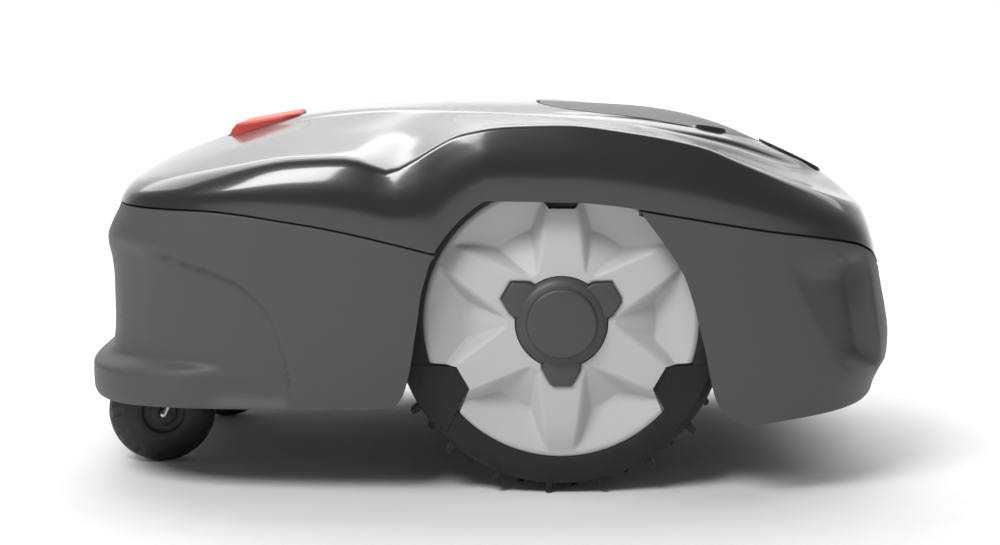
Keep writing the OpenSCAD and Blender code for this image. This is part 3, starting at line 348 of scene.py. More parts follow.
def erodedPlastic(name, look):
    material, tree, shader = newMaterial(name)         # spark-eroded mould grain: tiny soft pits
    coords = addNode(tree, "ShaderNodeTexCoord")
    cells = addNode(tree, "ShaderNodeTexVoronoi", feature="SMOOTH_F1")
    cells.inputs["Scale"].default_value = look["grain"]
    tree.links.new(coords.outputs["Object"], cells.inputs["Vector"])
    broad = noiseOn(tree, 7, 3)
    rampTo(tree, broad.outputs["Fac"], shader.inputs["Base Color"],
           shade(look["color"], 0.94), shade(look["color"], 1.06))
    rangeTo(tree, cells.outputs["Distance"], shader.inputs["Roughness"],
            look["rough"] + 0.06, look["rough"] - 0.06, 0.1, 0.6)
    bumpFrom(tree, shader, cells.outputs["Distance"], look["bump"], 0.0003)
    shader.inputs["Specular IOR Level"].default_value = look.get("specular", 0.4)
    return material


def brushedMetal(name, look):
    material, tree, shader = newMaterial(name)
    lines = noiseOn(tree, look["lines"], 2, look["stretch"], 0.6)
    rampTo(tree, lines.outputs["Fac"], shader.inputs["Base Color"],
           shade(look["color"], 0.86), shade(look["color"], 1.08))
    rangeTo(tree, lines.outputs["Fac"], shader.inputs["Roughness"], look["rough"] - 0.08, look["rough"] + 0.1)
    bumpFrom(tree, shader, lines.outputs["Fac"], 0.08, 0.0002)
    shader.inputs["Metallic"].default_value = 1
    return material


def mouldedRubber(name, look):
    material, tree, shader = newMaterial(name)
    broad = noiseOn(tree, 22, 4, rough=0.6)
    fine = noiseOn(tree, look["grain"], 3)
    rampTo(tree, broad.outputs["Fac"], shader.inputs["Base Color"],
           shade(look["color"], 0.8), shade(look["color"], 1.25))
    rangeTo(tree, fine.outputs["Fac"], shader.inputs["Roughness"], look["rough"] - 0.07, look["rough"] + 0.07)
    bumpFrom(tree, shader, fine.outputs["Fac"], look["bump"], 0.0004)
    shader.inputs["Specular IOR Level"].default_value = look.get("specular", 0.35)
    return material


def circuitBoard(name, look):
    material, tree, shader = newMaterial(name)         # solder mask over a grid of tracks
    coords = addNode(tree, "ShaderNodeTexCoord")
    tracks = addNode(tree, "ShaderNodeTexBrick")
    tracks.inputs["Scale"].default_value = 90
    tracks.inputs["Mortar Size"].default_value = 0.03
    tracks.inputs["Color1"].default_value = (*look["color"], 1)
    tracks.inputs["Color2"].default_value = (*shade(look["color"], 0.8), 1)
    tracks.inputs["Mortar"].default_value = (*shade(look["color"], 1.9), 1)
    tree.links.new(coords.outputs["Object"], tracks.inputs["Vector"])
    tree.links.new(tracks.outputs["Color"], shader.inputs["Base Color"])
    bumpFrom(tree, shader, tracks.outputs["Fac"], 0.2, 0.0001)
    shader.inputs["Roughness"].default_value = 0.35
    return material


finishes = {
    "coverGloss": {"color": (0.012, 0.012, 0.0125), "rough": 0.34, "grain": 1500, "bump": 0.02,
                   "depth": 0.00004, "broad": 5, "spread": 0.08, "coat": 1, "coatRough": 0.12,
                   "specular": 0.4},
    "skirtGrain": {"color": (0.07, 0.07, 0.072), "rough": 0.55, "grain": 1100, "bump": 0.1},
    "hatchSatin": {"color": (0.03, 0.03, 0.031), "rough": 0.42, "grain": 1200, "bump": 0.1},
    "blackPlastic": {"color": (0.022, 0.022, 0.022), "rough": 0.5, "grain": 900, "bump": 0.12},
    "platePlastic": {"color": (0.012, 0.012, 0.012), "rough": 0.34, "grain": 700, "bump": 0.05},
    "stopRed": {"color": (0.62, 0.07, 0.055), "rough": 0.42, "grain": 1000, "bump": 0.08, "spread": 0.05},
    "hubGrey": {"color": (0.5, 0.5, 0.5), "rough": 0.5, "grain": 1000, "bump": 0.06, "spread": 0.025},
    "capGrey": {"color": (0.06, 0.06, 0.062), "rough": 0.46, "grain": 1000, "bump": 0.1},
    "panelGrey": {"color": (0.06, 0.06, 0.063), "rough": 0.45, "grain": 1000, "bump": 0.1},
    "keyGrey": {"color": (0.2, 0.2, 0.21), "rough": 0.5, "grain": 1200, "bump": 0.08},
    "knobGrey": {"color": (0.09, 0.09, 0.09), "rough": 0.45, "grain": 1000, "bump": 0.12},
    "bushPlastic": {"color": (0.7, 0.68, 0.62), "rough": 0.4, "grain": 800, "bump": 0.05},
    "batteryWrap": {"color": (0.08, 0.1, 0.16), "rough": 0.38, "grain": 500, "bump": 0.1},
    "lensGloss": {"color": (0.03, 0.05, 0.05), "rough": 0.12, "grain": 300, "bump": 0.01, "coat": 0.5},
}
rubbers = {
    "tyreRubber": {"color": (0.014, 0.014, 0.014), "rough": 0.62, "grain": 700, "bump": 0.2},
    "casterRubber": {"color": (0.02, 0.02, 0.02), "rough": 0.5, "grain": 600, "bump": 0.15, "specular": 0.45},
    "postRubber": {"color": (0.03, 0.03, 0.03), "rough": 0.7, "grain": 800, "bump": 0.2},
}
metals = {
    "rodSteel": {"color": (0.62, 0.62, 0.63), "rough": 0.24, "lines": 300, "stretch": (1, 1, 0.08)},
    "bladeSteel": {"color": (0.66, 0.66, 0.67), "rough": 0.2, "lines": 420, "stretch": (1, 0.08, 1)},
    "discAluminium": {"color": (0.34, 0.34, 0.35), "rough": 0.36, "lines": 260, "stretch": (0.3, 1, 1)},
    "motorAluminium": {"color": (0.45, 0.45, 0.46), "rough": 0.36, "lines": 200, "stretch": (1, 0.2, 1)},
    "contactBrass": {"color": (0.72, 0.5, 0.25), "rough": 0.28, "lines": 350, "stretch": (0.1, 1, 1)},
}
looks = {}
for key, look in finishes.items():
    looks[key] = erodedPlastic(key, look) if key == "skirtGrain" else mouldedPlastic(key, look)
for key, look in rubbers.items():
    looks[key] = mouldedRubber(key, look)
for key, look in metals.items():
    looks[key] = brushedMetal(key, look)
looks["boardGreen"] = circuitBoard("boardGreen", {"color": (0.02, 0.16, 0.06)})
print("materials:", len(looks))


bodyLines = {                                          # mm: distance ahead of the axle, and height
    "axleX": 46, "axleZ": 115, "rear": -275, "front": 275, "halfWidth": 195, "deckHalf": 76,
    "ridge": [(-312, 184), (-307, 193), (-284.5, 208), (-233, 227), (-183, 241), (-163, 244.5), (-114, 249),
              (-54, 250), (0, 248.5), (33, 247), (62, 245.2), (91, 240.8), (121, 232.5), (150, 220),
              (179, 206.5), (196, 197), (205, 191), (211, 182), (215, 170)],
    "seamRear": [(-304, 187.5), (-236, 187.5), (-169, 180), (-87, 162), (-60, 154)],
    "seamFront": [(49, 189), (120, 177), (190, 165), (206, 157), (214, 147), (220, 142.5), (224.5, 141)],
    "crest": [(-302, 198), (-276, 203), (-221, 213), (-173, 221), (-142, 222), (-126, 219), (-112, 213),
              (-101, 217), (-86, 226), (-65, 237), (-36, 242), (0, 243), (44, 238), (89, 229), (114, 218.8),
              (150, 204.8), (186.5, 191.7), (200, 186.5), (210, 182.5)],
    "channel": [(-284, 208), (-246, 217), (-173, 231), (-112, 232), (-65, 240.5), (0, 239.5), (44, 234.5),
                (89, 224.5), (114, 216), (150, 203.5), (180, 196.5), (198, 195.8)],
    "deckEdge": [(-236, 226), (-196, 234), (-163, 240), (-109, 245), (-46, 244), (0, 241.5), (29, 239.5),
                 (49, 237), (92, 227.5), (127, 218), (150, 209.5), (164, 205), (180, 200.5), (194, 198)],
    "skirtFoot": [(-320, 57), (-236, 59.5), (-110, 61), (110, 49), (155, 53), (212, 58.5)],
    "archRadius": 94, "archTop": [(-94, 195.5), (-40, 194.8), (11, 193.7), (47, 189.8), (64, 186)],
    "seamGap": 1.4, "wall": 3,
}
axleX, axleZ = bodyLines["axleX"], bodyLines["axleZ"]
rearLength, frontLength = axleX - bodyLines["rear"], bodyLines["front"] - axleX
halfWidth, deckHalf, wall = bodyLines["halfWidth"], bodyLines["deckHalf"], bodyLines["wall"]
ridgeAt = softCurve(bodyLines["ridge"], 6)
crestAt = softCurve(bodyLines["crest"], 5)
channelAt = softCurve(bodyLines["channel"], 12)
deckEdgeAt = softCurve(bodyLines["deckEdge"], 12)
footAt = curveThrough(bodyLines["skirtFoot"])
archTopAt = curveThrough(bodyLines["archTop"])
rearSeamAt = curveThrough(bodyLines["seamRear"])
frontSeamAt = curveThrough(bodyLines["seamFront"])


def seamAt(d):
    if d < -60:
        return rearSeamAt(d)
    return frontSeamAt(d) if d > 49 else 150


def archAt(d):
    rise = bodyLines["archRadius"] ** 2 - d * d
    return min(axleZ + sqrt(rise), archTopAt(d)) if rise > 0 else 0


def deckAt(x, y):
    return mix(ridgeAt(x - axleX), deckEdgeAt(x - axleX), (abs(y) / deckHalf) ** 3)


coverShape = {
    "rings": [
        (axleX, rearLength - 21, frontLength - 7.5, halfWidth - 2, 4.8, 4.3),
        (axleX, rearLength - 23, frontLength - 13, halfWidth, 4.6, 4.2),
        (axleX, rearLength - 26, frontLength - 19, halfWidth - 9, 4, 4),
        (axleX, rearLength - 40, frontLength - 31, halfWidth - 63, 2.8, 3),
        (axleX, rearLength - 85, frontLength - 35, deckHalf, 2.4, 2.6),
        (axleX, rearLength - 120, frontLength - 44, deckHalf - 2.5, 2.4, 2.6),
        (axleX, rearLength - 160, frontLength - 50, deckHalf - 5, 2.4, 2.6),
        (axleX, rearLength - 245, frontLength - 62, deckHalf - 10, 2.4, 2.6),
    ],
    "step": 1.5, "archStep": 2.5, "gap": 1, "hingeRoom": 2.2,
    "crestRound": [(-320, 8), (-150, 8), (-112, 5), (-80, 3), (100, 3), (170, 5), (225, 9)],
}
hatchOutline = (115, 80, 80, 60, 3.2, 2.4)
stopShape = {"rear": -187, "front": -137, "half": 35, "corner": 9, "gap": 1, "floor": 198}
crestRoundAt = curveThrough(coverShape["crestRound"])


def coverAngles():
    ring = coverShape["rings"][0]
    low, high = -94, 64                                # lines stand closer where the arch cuts the flank
    archAngles = []
    d = low
    while d <= high:
        archAngles.append(edgeAngle(d, ring[2], ring[5]) if d >= 0 else pi - edgeAngle(-d, ring[1], ring[4]))
        d += coverShape["archStep"]
    archAngles.sort()
    half = []
    a = 0.0
    while a < pi + 1e-9:
        if not archAngles[0] - 0.015 < a < archAngles[-1] + 0.015:
            half.append(a)
        a += radians(coverShape["step"])
    half = sorted(half + archAngles)
    return half + [2 * pi - a for a in reversed(half[1:-1])] + [2 * pi]


def coverSection(a):
    keys = []
    for i, ring in enumerate(coverShape["rings"]):
        x, y = planPoint(a, ring)
        d = x - axleX
        seam = max(seamAt(d) + bodyLines["seamGap"] / 2, archAt(d))
        if i == 0:
            z = seam
        elif i == 1:
            z = mix(seam, crestAt(d), 0.5)
        elif i == 2:
            z = crestAt(d)
            crestD = d
        elif i == 3:
            z = channelAt(d)
        elif i == 4:
            z = deckEdgeAt(d)
        else:
            z = deckAt(x, y)
        keys.append(Vector((x, y, z)))
    c = cos(a)
    gap = coverShape["gap"] + (coverShape["hingeRoom"] - coverShape["gap"]) * max(-c, 0)
    x, y = planPoint(a, hatchOutline, -gap)
    keys.append(Vector((x, y, deckAt(x, y))))
    rounds = [30, crestRoundAt(crestD), 20, 9, 20, 20, 20]
    return roundedPath(keys, rounds, 5, 2)


def roundedBox(x0, x1, half, corner, steps=6):
    corners = [(x1 - corner, half - corner, 0), (x0 + corner, half - corner, 90),
               (x0 + corner, corner - half, 180), (x1 - corner, corner - half, 270)]
    return [(cx + corner * cos(radians(start + 90 * k / steps)),
             cy + corner * sin(radians(start + 90 * k / steps)))
            for cx, cy, start in corners for k in range(steps + 1)]


def makeCover():
    angles = coverAngles()
    sections = [coverSection(a) for a in angles]
    rows = len(sections[0])
    bm = wrapGrid(len(angles) - 1, rows - 1, lambda i, j: sections[i % (len(angles) - 1)][j])
    cover = newObject("coverShell", bm)
    thicken(cover, wall)
    bake(cover)
    hole = bmesh.new()
    s = stopShape
    prism(hole, roundedBox(s["rear"] - s["gap"], s["front"] + s["gap"], s["half"] + s["gap"],
                           s["corner"] + s["gap"]),
          s["floor"], 270, lambda p, z: (p[0], p[1], z))
    cutAway(cover, hole)
    soften(cover, 0.7, 2, 55)
    return finishPiece(cover, "cover", looks["coverGloss"], ["top_cover"], 40)


makeCover()
print("cover done")


skirtShape = {
    "steps": 240, "lipIn": 3.4, "lipLean": 2.6, "lipHeight": 6, "rearPower": 5, "frontPower": 4.4,
    "rearInset": [(57, 4), (59, 1.8), (62.5, 0.3), (72, 0), (78.5, 0.3), (80.5, 2), (82.5, 6), (84.5, 9.5),
                  (87, 12.4), (90, 13.7), (104, 15.3), (118, 15.5), (134, 15.4), (148, 14.5), (155, 13.2)],
    "rearRise": [(0, 13.2), (0.15, 12.2), (0.31, 11.9), (0.47, 13.6), (0.66, 16), (0.82, 18.7), (1, 21)],
    "rearEdge": [(57, 122), (58.5, 116), (62.5, 108), (67, 103.6), (72, 101), (80, 99), (89, 97), (104, 94.7),
                 (118, 92.5), (134, 90.3), (148, 86.5), (155, 84.5)],
    "rearHeights": [58.5, 60, 62.5, 66, 70, 74, 77, 78.5, 79.5, 80.5, 81.5, 82.5, 83.5, 84.5, 85.7, 87,
                    88.5, 90, 94, 97, 100, 103, 106, 109, 112, 115, 118, 121, 124, 127, 130, 133, 136, 139,
                    142, 145, 148, 151.5, 155],
    "crease": [(-322, 176), (-271, 163), (-245, 155.6), (-220, 147.8), (-209, 143), (-194, 130.6),
               (-187.5, 122), (-181, 109), (-176, 94), (-171, 64), (-170, 50)],
    "recess": 4.5, "creaseSoft": 4.5, "creaseWide": 6, "ledge": 83, "ledgeEnd": -218,
    "cornerAt": -258, "sidesFrom": -308,
    "frontInset": [(49, 13), (57, 11.6), (66, 9.5), (75, 5), (84, 0.6), (98, 0), (112, 1.8), (126, 4.6)],
    "frontEdge": [(49, 122), (52, 112.5), (57, 105), (66, 99.5), (82, 95), (98, 92), (112, 88.5), (126, 85)],
    "frontHeights": [50.5, 52, 54, 57, 61, 66, 71, 76, 81, 86, 91, 96, 101, 106, 111, 116, 121, 126],
    "frontRise": [(0, 4.6, 85), (0.36, 5.6, 78), (0.7, 6.6, 65), (1, 7.5, 50)], "scoop": 12,
}
creaseAt = curveThrough(skirtShape["crease"])
rearInsetAt = curveThrough(skirtShape["rearInset"])
rearEdgeAt = curveThrough(skirtShape["rearEdge"])
frontInsetAt = curveThrough(skirtShape["frontInset"])
frontEdgeAt = curveThrough(skirtShape["frontEdge"])
rearRiseAt = curveThrough(skirtShape["rearRise"])
riseInsetAt = curveThrough([(s, i) for s, i, e in skirtShape["frontRise"]])
riseEdgeAt = curveThrough([(s, e) for s, i, e in skirtShape["frontRise"]])


def recessDepth(d, z):
    s = skirtShape
    slope = (creaseAt(d + 1) - creaseAt(d - 1)) / 2
    below = max(creaseAt(d) - z, 0) / hypot(1, slope)
    width = s["creaseSoft"] + s["creaseWide"] * max(ease((-slope - 1) / 2.5), ease((s["cornerAt"] - d) / 20))
    ledge = mix(ease((z - 57) / 14), ease((z - s["ledge"]) / 6), ease((s["ledgeEnd"] - d) / 30))
    return s["recess"] * ease(below / width) * ledge * ease((d - s["sidesFrom"]) / 30)


def scoopDepth(d, z):
    low = 141 + (158 - z) * 0.536
    far = 196 + (154 - z) * 0.17
    w = (d - low) / max(far - low, 1)
    fade = ease((157 - z) / 16) * ease((z - 78) / 16)
    if w < 0:
        return 0
    return skirtShape["scoop"] * fade * (sin(pi / 2 * w) if w < 1 else ease(1 - (d - far) / 7))


def skirtRows(heights):
    rises = [k / 8 for k in range(1, 8)] + [0.94, 0.975]
    levels = [("level", z, 0.3 * k + 0.3) for k, z in enumerate(heights)]
    return ([("foot", 0)] + levels + [("rise", s) for s in rises]
            + [("seam", 0, -0.9), ("seam", 0.25, -0.25), ("seam", 0.9, 0), ("seam", skirtShape["lipIn"], 0),
               ("seam", skirtShape["lipIn"] + skirtShape["lipLean"], skirtShape["lipHeight"])])


def skirtPoint(u, row, rear):
    kind, value = row[0], row[1]
    seamRing = coverShape["rings"][0]
    rearPower, frontPower = skirtShape["rearPower"], skirtShape["frontPower"]
    top = 155 if rear else 126
    foot = 57 if rear else 49
    if kind == "seam":
        outline, edge = seamRing, 82 if rear else 50
    elif kind == "rise":
        if rear:
            outline = (axleX, rearLength - rearRiseAt(value), 100, mix(halfWidth - 1.5, seamRing[3], value),
                       mix(rearPower, seamRing[4], value), frontPower)
            edge = mix(84.5, 82, value)
        else:
            outline = (axleX, 100, frontLength - riseInsetAt(value), mix(halfWidth - 1.5, seamRing[3], value),
                       rearPower, mix(frontPower, seamRing[5], value))
            edge = riseEdgeAt(value)
    else:
        z = foot if kind == "foot" else value
        if rear:
            outline = (axleX, rearLength - rearInsetAt(z), 100, halfWidth - 1.5, rearPower, frontPower)
            edge = rearEdgeAt(z)
        else:
            outline = (axleX, 100, frontLength - frontInsetAt(z), halfWidth - 1.5, rearPower, frontPower)
            edge = frontEdgeAt(z)
    halfLength, power = (outline[1], outline[4]) if rear else (outline[2], outline[5])
    a = u * edgeAngle(edge, halfLength, power) + (pi if rear else 0)
    x, y = planPoint(a, outline)
    d = x - axleX
    inset = 0
    if kind == "seam":
        z = seamAt(d) - bodyLines["seamGap"] / 2 + row[2]
        inset = value
    elif kind == "foot":
        z = footAt(d)
    elif kind == "level":
        z = max(value, footAt(d) + row[2])
    else:
        z = mix(top, seamAt(d) - bodyLines["seamGap"] / 2 - 1.1, value)
    if kind != "seam":
        inset = recessDepth(d, z) if rear else scoopDepth(d, z)
    x, y = planPoint(a, outline, inset)
    return x, y, z


def makeSkirt(name, node, rear):
    rows = skirtRows(skirtShape["rearHeights" if rear else "frontHeights"])
    steps = skirtShape["steps"]
    bm = wrapGrid(steps, len(rows) - 1, lambda i, j: skirtPoint(1 - 2 * i / steps, rows[j], rear))
    mid = sum((f.calc_center_median() for f in bm.faces), Vector()) / len(bm.faces)
    outward = sum(f.normal.dot(f.calc_center_median() - mid) for f in bm.faces)
    if outward < 0:
        bmesh.ops.reverse_faces(bm, faces=bm.faces)
    skirt = newObject(name, bm)
    thicken(skirt, wall)
    bake(skirt)
    soften(skirt, 0.6, 2, 60)
    return finishPiece(skirt, "cover", looks["skirtGrain"], [node], 40)


makeSkirt("rearSkirtShell", "rear_skirt", True)
makeSkirt("frontSkirtShell", "front_skirt", False)
print("skirts done")


wheelShape = {
    "face": 178, "cap": 30, "shaft": 6.05, "boss": 26, "back": -47, "turns": 480, "tip": 35, "tipRound": 4,
    "slope": 37, "wallSlope": 1.75, "edgeSoft": 1.1, "floorSoft": 1.6, "lobeRoot": 11.8, "lobeTip": 6.4,
    "lobeReach": 41,
    "spokeTop": [(30, 0.2), (33.5, 0), (70, -0.6), (76, -1.4), (80, -2.5), (87, -4.4), (92, -5)],
    "valley": [(30, 2), (37, -1.2), (62, -13), (64, -12.6), (85.5, -4.6), (92, -2.4)],
    "notchTurns": (90, 210, 330), "lobeTurns": (30, 150, 270),
}
spokeTopAt = curveThrough(wheelShape["spokeTop"])


def valleyAt(r):
    points = wheelShape["valley"]
    for (r0, z0), (r1, z1) in zip(points, points[1:]):
        if r <= r1:
            return mix(z0, z1, (r - r0) / (r1 - r0))
    return points[-1][1]


def softMax(a, b, k):
    h = max(k - abs(a - b), 0) / k
    return max(a, b) + h * h * k / 4


def softMin(a, b, k):
    return -softMax(-a, -b, k)


def pocketDepthLine(r, turn):
    w = wheelShape                                     # signed distance into the nearest pocket
    t = (degrees(turn) + 30) % 60 - 30
    x, y = r * cos(radians(t)), abs(r * sin(radians(t)))
    c = w["tip"] + w["tipRound"]
    s = radians(w["slope"])
    along = (x - c) * cos(s) + y * sin(s)
    if along < 0:
        return w["tipRound"] - hypot(x - c, y)
    return (x - c) * sin(s) - y * cos(s) + w["tipRound"]


def lobeInside(r, turn, grow):
    w = wheelShape
    best = -99
    for t in w["lobeTurns"]:
        x, y = r * cos(turn - radians(t)), abs(r * sin(turn - radians(t)))
        if x < 10:
            continue
        run = w["lobeReach"] - w["cap"] - 1
        lean = atan2(w["lobeRoot"] - w["lobeTip"], run)
        side = (w["lobeRoot"] - y) * cos(lean) - max(x - w["cap"] - 1, 0) * sin(lean)
        best = max(best, min(side, w["lobeReach"] - x) + grow)
    return best


def hubHeight(r, turn):
    w = wheelShape
    top = spokeTopAt(r)
    into = pocketDepthLine(r, turn)
    fall = softMax(into, 0, w["edgeSoft"] * 2) * w["wallSlope"]
    spoke = top - fall
    floor = valleyAt(r)
    height = softMax(spoke, min(floor, top + 0.5), w["floorSoft"]) if into > -3 else top
    height = min(height, top)
    lobe = lobeInside(r, turn, 0.9)
    if lobe > -2:
        height = softMin(height, max(top - softMax(lobe, 0, 1.2) * 3, -6), 0.4)
    return height


def makeHub():
    w = wheelShape
    face = [30.3 + 0.75 * k for k in range(77)]        # rings of the outer face, up to the rim's roll
    profile = [(w["shaft"], -18), (22, -18), (30.3, -6.5), (30.3, -2.2)]
    profile += [(r, spokeTopAt(r)) for r in face]
    profile += [(88.6, -4.75), (89.5, -5.4), (90, -6.5), (90, w["back"] + 5), (85, w["back"] + 5),
                (85, -21), (78, -19), (62, -18.5), (w["boss"], -24), (w["boss"], w["back"]),
                (w["shaft"], w["back"])]
    bm = bmesh.new()
    lathe(bm, profile, (axleX, -w["face"], axleZ), (0, -1, 0), (1, 0, 0), w["turns"])
    for v in bm.verts:
        x, y, z = v.co / mm
        r, up = hypot(x - axleX, z - axleZ), -y - w["face"]
        if r > 30.25 and abs(up - spokeTopAt(r)) < 0.02 and r < 88:
            up = hubHeight(r, atan2(z - axleZ, x - axleX))
            v.co.y = -(w["face"] + up) * mm
    bmesh.ops.recalc_face_normals(bm, faces=bm.faces)
    hub = newObject("hubRight", bm)
    notch = bmesh.new()
    for t in w["notchTurns"]:
        outline = notchOutline(t, 74, 97, 6.5, 14.5)
        prism(notch, outline, -9, 8, lambda p, up: (axleX + p[0], -(w["face"] + up), axleZ + p[1]))
    cutAway(hub, notch)
    return hub


def notchOutline(turn, r0, r1, a0, a1):
    t = radians(turn)
    a0, a1 = radians(a0), radians(a1)
    return [(r0 * cos(t - a0), r0 * sin(t - a0)), (r1 * cos(t - a1), r1 * sin(t - a1)),
            (r1 / cos(a1) * cos(t) * 1.02, r1 / cos(a1) * sin(t) * 1.02),
            (r1 * cos(t + a1), r1 * sin(t + a1)), (r0 * cos(t + a0), r0 * sin(t + a0))]


hubRight = makeHub()
hubLeft = mirrored(hubRight, "hubLeft")
for side, hub in (("right", hubRight), ("left", hubLeft)):
    finishPiece(hub, "wheel_" + side, looks["hubGrey"], ["hub_" + side], 50)
print("hubs done")

capShape = {
    "profile": [(0, -5.5), (28, -5.5), (30, -4), (30, -1.2), (29.4, 0.8), (27, 3.2), (25, 4.1), (23.2, 4.6),
                (22.8, 5.2), (22.5, 7.6), (22.1, 8.3), (21.2, 8.7), (20, 8.9), (12, 9), (0, 9)],
    "lobeLow": -5.5, "lobeHigh": 2.5,
}


def makeCap():
    w = wheelShape
    bm = bmesh.new()
    lathe(bm, capShape["profile"], (axleX, -w["face"], axleZ), (0, -1, 0), (1, 0, 0), 120, closed=False)
    lobes = bmesh.new()
    for t in w["lobeTurns"]:
        a = radians(t)
        outline = [(20, -w["lobeRoot"]), (w["cap"] + 1, -w["lobeRoot"]), (w["lobeReach"], -w["lobeTip"]),
                   (w["lobeReach"], w["lobeTip"]), (w["cap"] + 1, w["lobeRoot"]), (20, w["lobeRoot"])]
        turned = [(p[0] * cos(a) - p[1] * sin(a), p[0] * sin(a) + p[1] * cos(a)) for p in outline]
        prism(lobes, turned, capShape["lobeLow"], capShape["lobeHigh"],
              lambda p, up: (axleX + p[0], -(w["face"] + up), axleZ + p[1]))
    sharp = [e for e in lobes.edges if len(e.link_faces) == 2 and e.calc_face_angle() > 0.6]
    bmesh.ops.bevel(lobes, geom=sharp, offset=0.9 * mm, offset_type="OFFSET", affect="EDGES", segments=3,
                    profile=0.5, material=-1)
    addTo(bm, lobes)
    return newObject("capRight", bm)


capRight = makeCap()
capLeft = mirrored(capRight, "capLeft")
for side, cap in (("right", capRight), ("left", capLeft)):
    finishPiece(cap, "wheel_" + side, looks["capGrey"], ["hub_cap_" + side], 40)
print("hub caps done")

tyreShape = {
    "outer": 108.5, "lug": 115, "width": 40, "count": 20, "lugWidth": 5, "phase": 4, "side": -4,
}


def makeTyre():
    t, w = tyreShape, wheelShape
    outer, side, width = t["outer"], t["side"], t["width"]
    profile = [(90, side - 0.6), (91.2, side - 0.2), (93, side), (99, side + 0.25), (102.5, side),
               (105.5, side - 0.9), (107.6, side - 2.6), (outer, side - 5), (outer, side - width + 5),
               (107.6, side - width + 2.6), (105.5, side - width + 0.9), (102.5, side - width),
               (90, side - width)]
    bm = bmesh.new()
    lathe(bm, profile, (axleX, -w["face"], axleZ), (0, -1, 0), (1, 0, 0), 180)
    lugs = bmesh.new()
    for row in (0, 1):
        for k in range(t["count"]):
            turn = radians(270 - t["phase"] + 360 / t["count"] * (k + row / 2))
            top = side - 3 - row * width / 2
            cube = bmesh.ops.create_cube(lugs, size=mm)["verts"]
            bmesh.ops.scale(lugs, vec=(t["lug"] - outer + 2, width / 2 - 5, t["lugWidth"]), verts=cube)
            tipFace = [v for v in cube if v.co.x > 0]
            bmesh.ops.scale(lugs, vec=(1, 0.9, 0.72), verts=tipFace)
            bmesh.ops.translate(lugs, vec=Vector(((t["lug"] + outer - 2) / 2,
                                                  -(w["face"] + top - width / 4 + 2.5), 0)) * mm,
                                verts=cube)
            bmesh.ops.rotate(lugs, cent=(0, 0, 0), matrix=Matrix.Rotation(-turn, 3, "Y"), verts=cube)
            bmesh.ops.translate(lugs, vec=Vector((axleX, 0, axleZ)) * mm, verts=cube)
    bmesh.ops.bevel(lugs, geom=lugs.edges[:], offset=0.7 * mm, offset_type="OFFSET", affect="EDGES",
                    segments=2, profile=0.5, material=-1)
    for t0 in w["notchTurns"]:
        outline = notchOutline(t0, 74.4, outer - 4, 6.2, 14.2)
        prism(lugs, outline[:2] + [(103 * cos(radians(t0)), 103 * sin(radians(t0)))] + outline[3:], -8.8,
              side + 0.7, lambda p, up: (axleX + p[0], -(w["face"] + up), axleZ + p[1]))
    addTo(bm, lugs)
    return newObject("tyreRight", bm)


tyreRight = makeTyre()
tyreLeft = mirrored(tyreRight, "tyreLeft")
for side, tyre in (("right", tyreRight), ("left", tyreLeft)):
    finishPiece(tyre, "wheel_" + side, looks["tyreRubber"], ["tyre_" + side], 40)
print("tyres done")


panelShapes = {
    "hatch": {"outline": hatchOutline, "low": -2.5, "high": 0, "roll": 1.2, "steps": 144},
    "plate": {"outline": (218, 22, 21, 25, 3, 3), "low": -0.4, "high": 2, "roll": 0.7, "steps": 96},
}


def crownPanel(shape):
    low, high, roll = shape["low"], shape["high"], shape["roll"]
    rows = [(k / 12, 0, high) for k in range(12)] + [(0.96, 0, high)]
    rows += [(1, roll * (1 - sin(radians(t))), high - roll * (1 - cos(radians(t))))
             for t in (0, 22, 45, 68, 90)]
    rows += [(1, 0, low + 0.4), (1, 0.4, low)] + [(1 - k / 8, 0.4, low) for k in range(1, 9)]
    steps = shape["steps"]

    def place(i, j):
        share, inset, up = rows[j]
        px, py = planPoint(2 * pi * (i % steps) / steps, shape["outline"], inset)
        x, y = mix(shape["outline"][0], px, share), py * share
        return x, y, deckAt(x, y) + up
    return wrapGrid(steps, len(rows) - 1, place)


hatchMesh = crownPanel(panelShapes["hatch"])
arms = cadCopy("hatch")                                # the gooseneck arms under the panel
panelFaces = [f for f in arms.faces
              if all(v.co.z / mm > deckAt(v.co.x / mm, v.co.y / mm) - 3.2 for v in f.verts)]
bmesh.ops.delete(arms, geom=panelFaces, context="FACES")
addTo(hatchMesh, arms)
finishPiece(newObject("hatchPanel", hatchMesh), "hatch", looks["hatchSatin"], ["hatch"], 40)
finishPiece(newObject("nosePlatePanel", crownPanel(panelShapes["plate"])), "cover", looks["platePlastic"],
            ["nose_plate"], 40)
finishPiece(softCopy("stop_button", 2.2, 5, 25), nodes["stop_button"]["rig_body"], looks["stopRed"],
            ["stop_button"], 60)
print("panels and stop button done")

casterShape = {
    "half": 15, "count": 24, "steps": 384, "groove": 1.1, "grooveWidth": 0.17, "slant": 0.03,
    "crown": [(0, 37), (3, 36.8), (6, 36), (8, 34.4), (10, 31.5), (11.5, 28.5), (12.6, 25.5), (13.5, 22.4),
              (14, 20)],
    "face": [(19, 14.2), (15.6, 14.3), (14.6, 13.9), (14.1, 12.9), (13.6, 12.5), (9.8, 12.5), (9.2, 12.8),
             (9, 13.6), (8.9, 14.7), (8.4, 15), (5, 15), (3.2, 15), (2.65, 14.6)],
}
crownAt = curveThrough(casterShape["crown"])


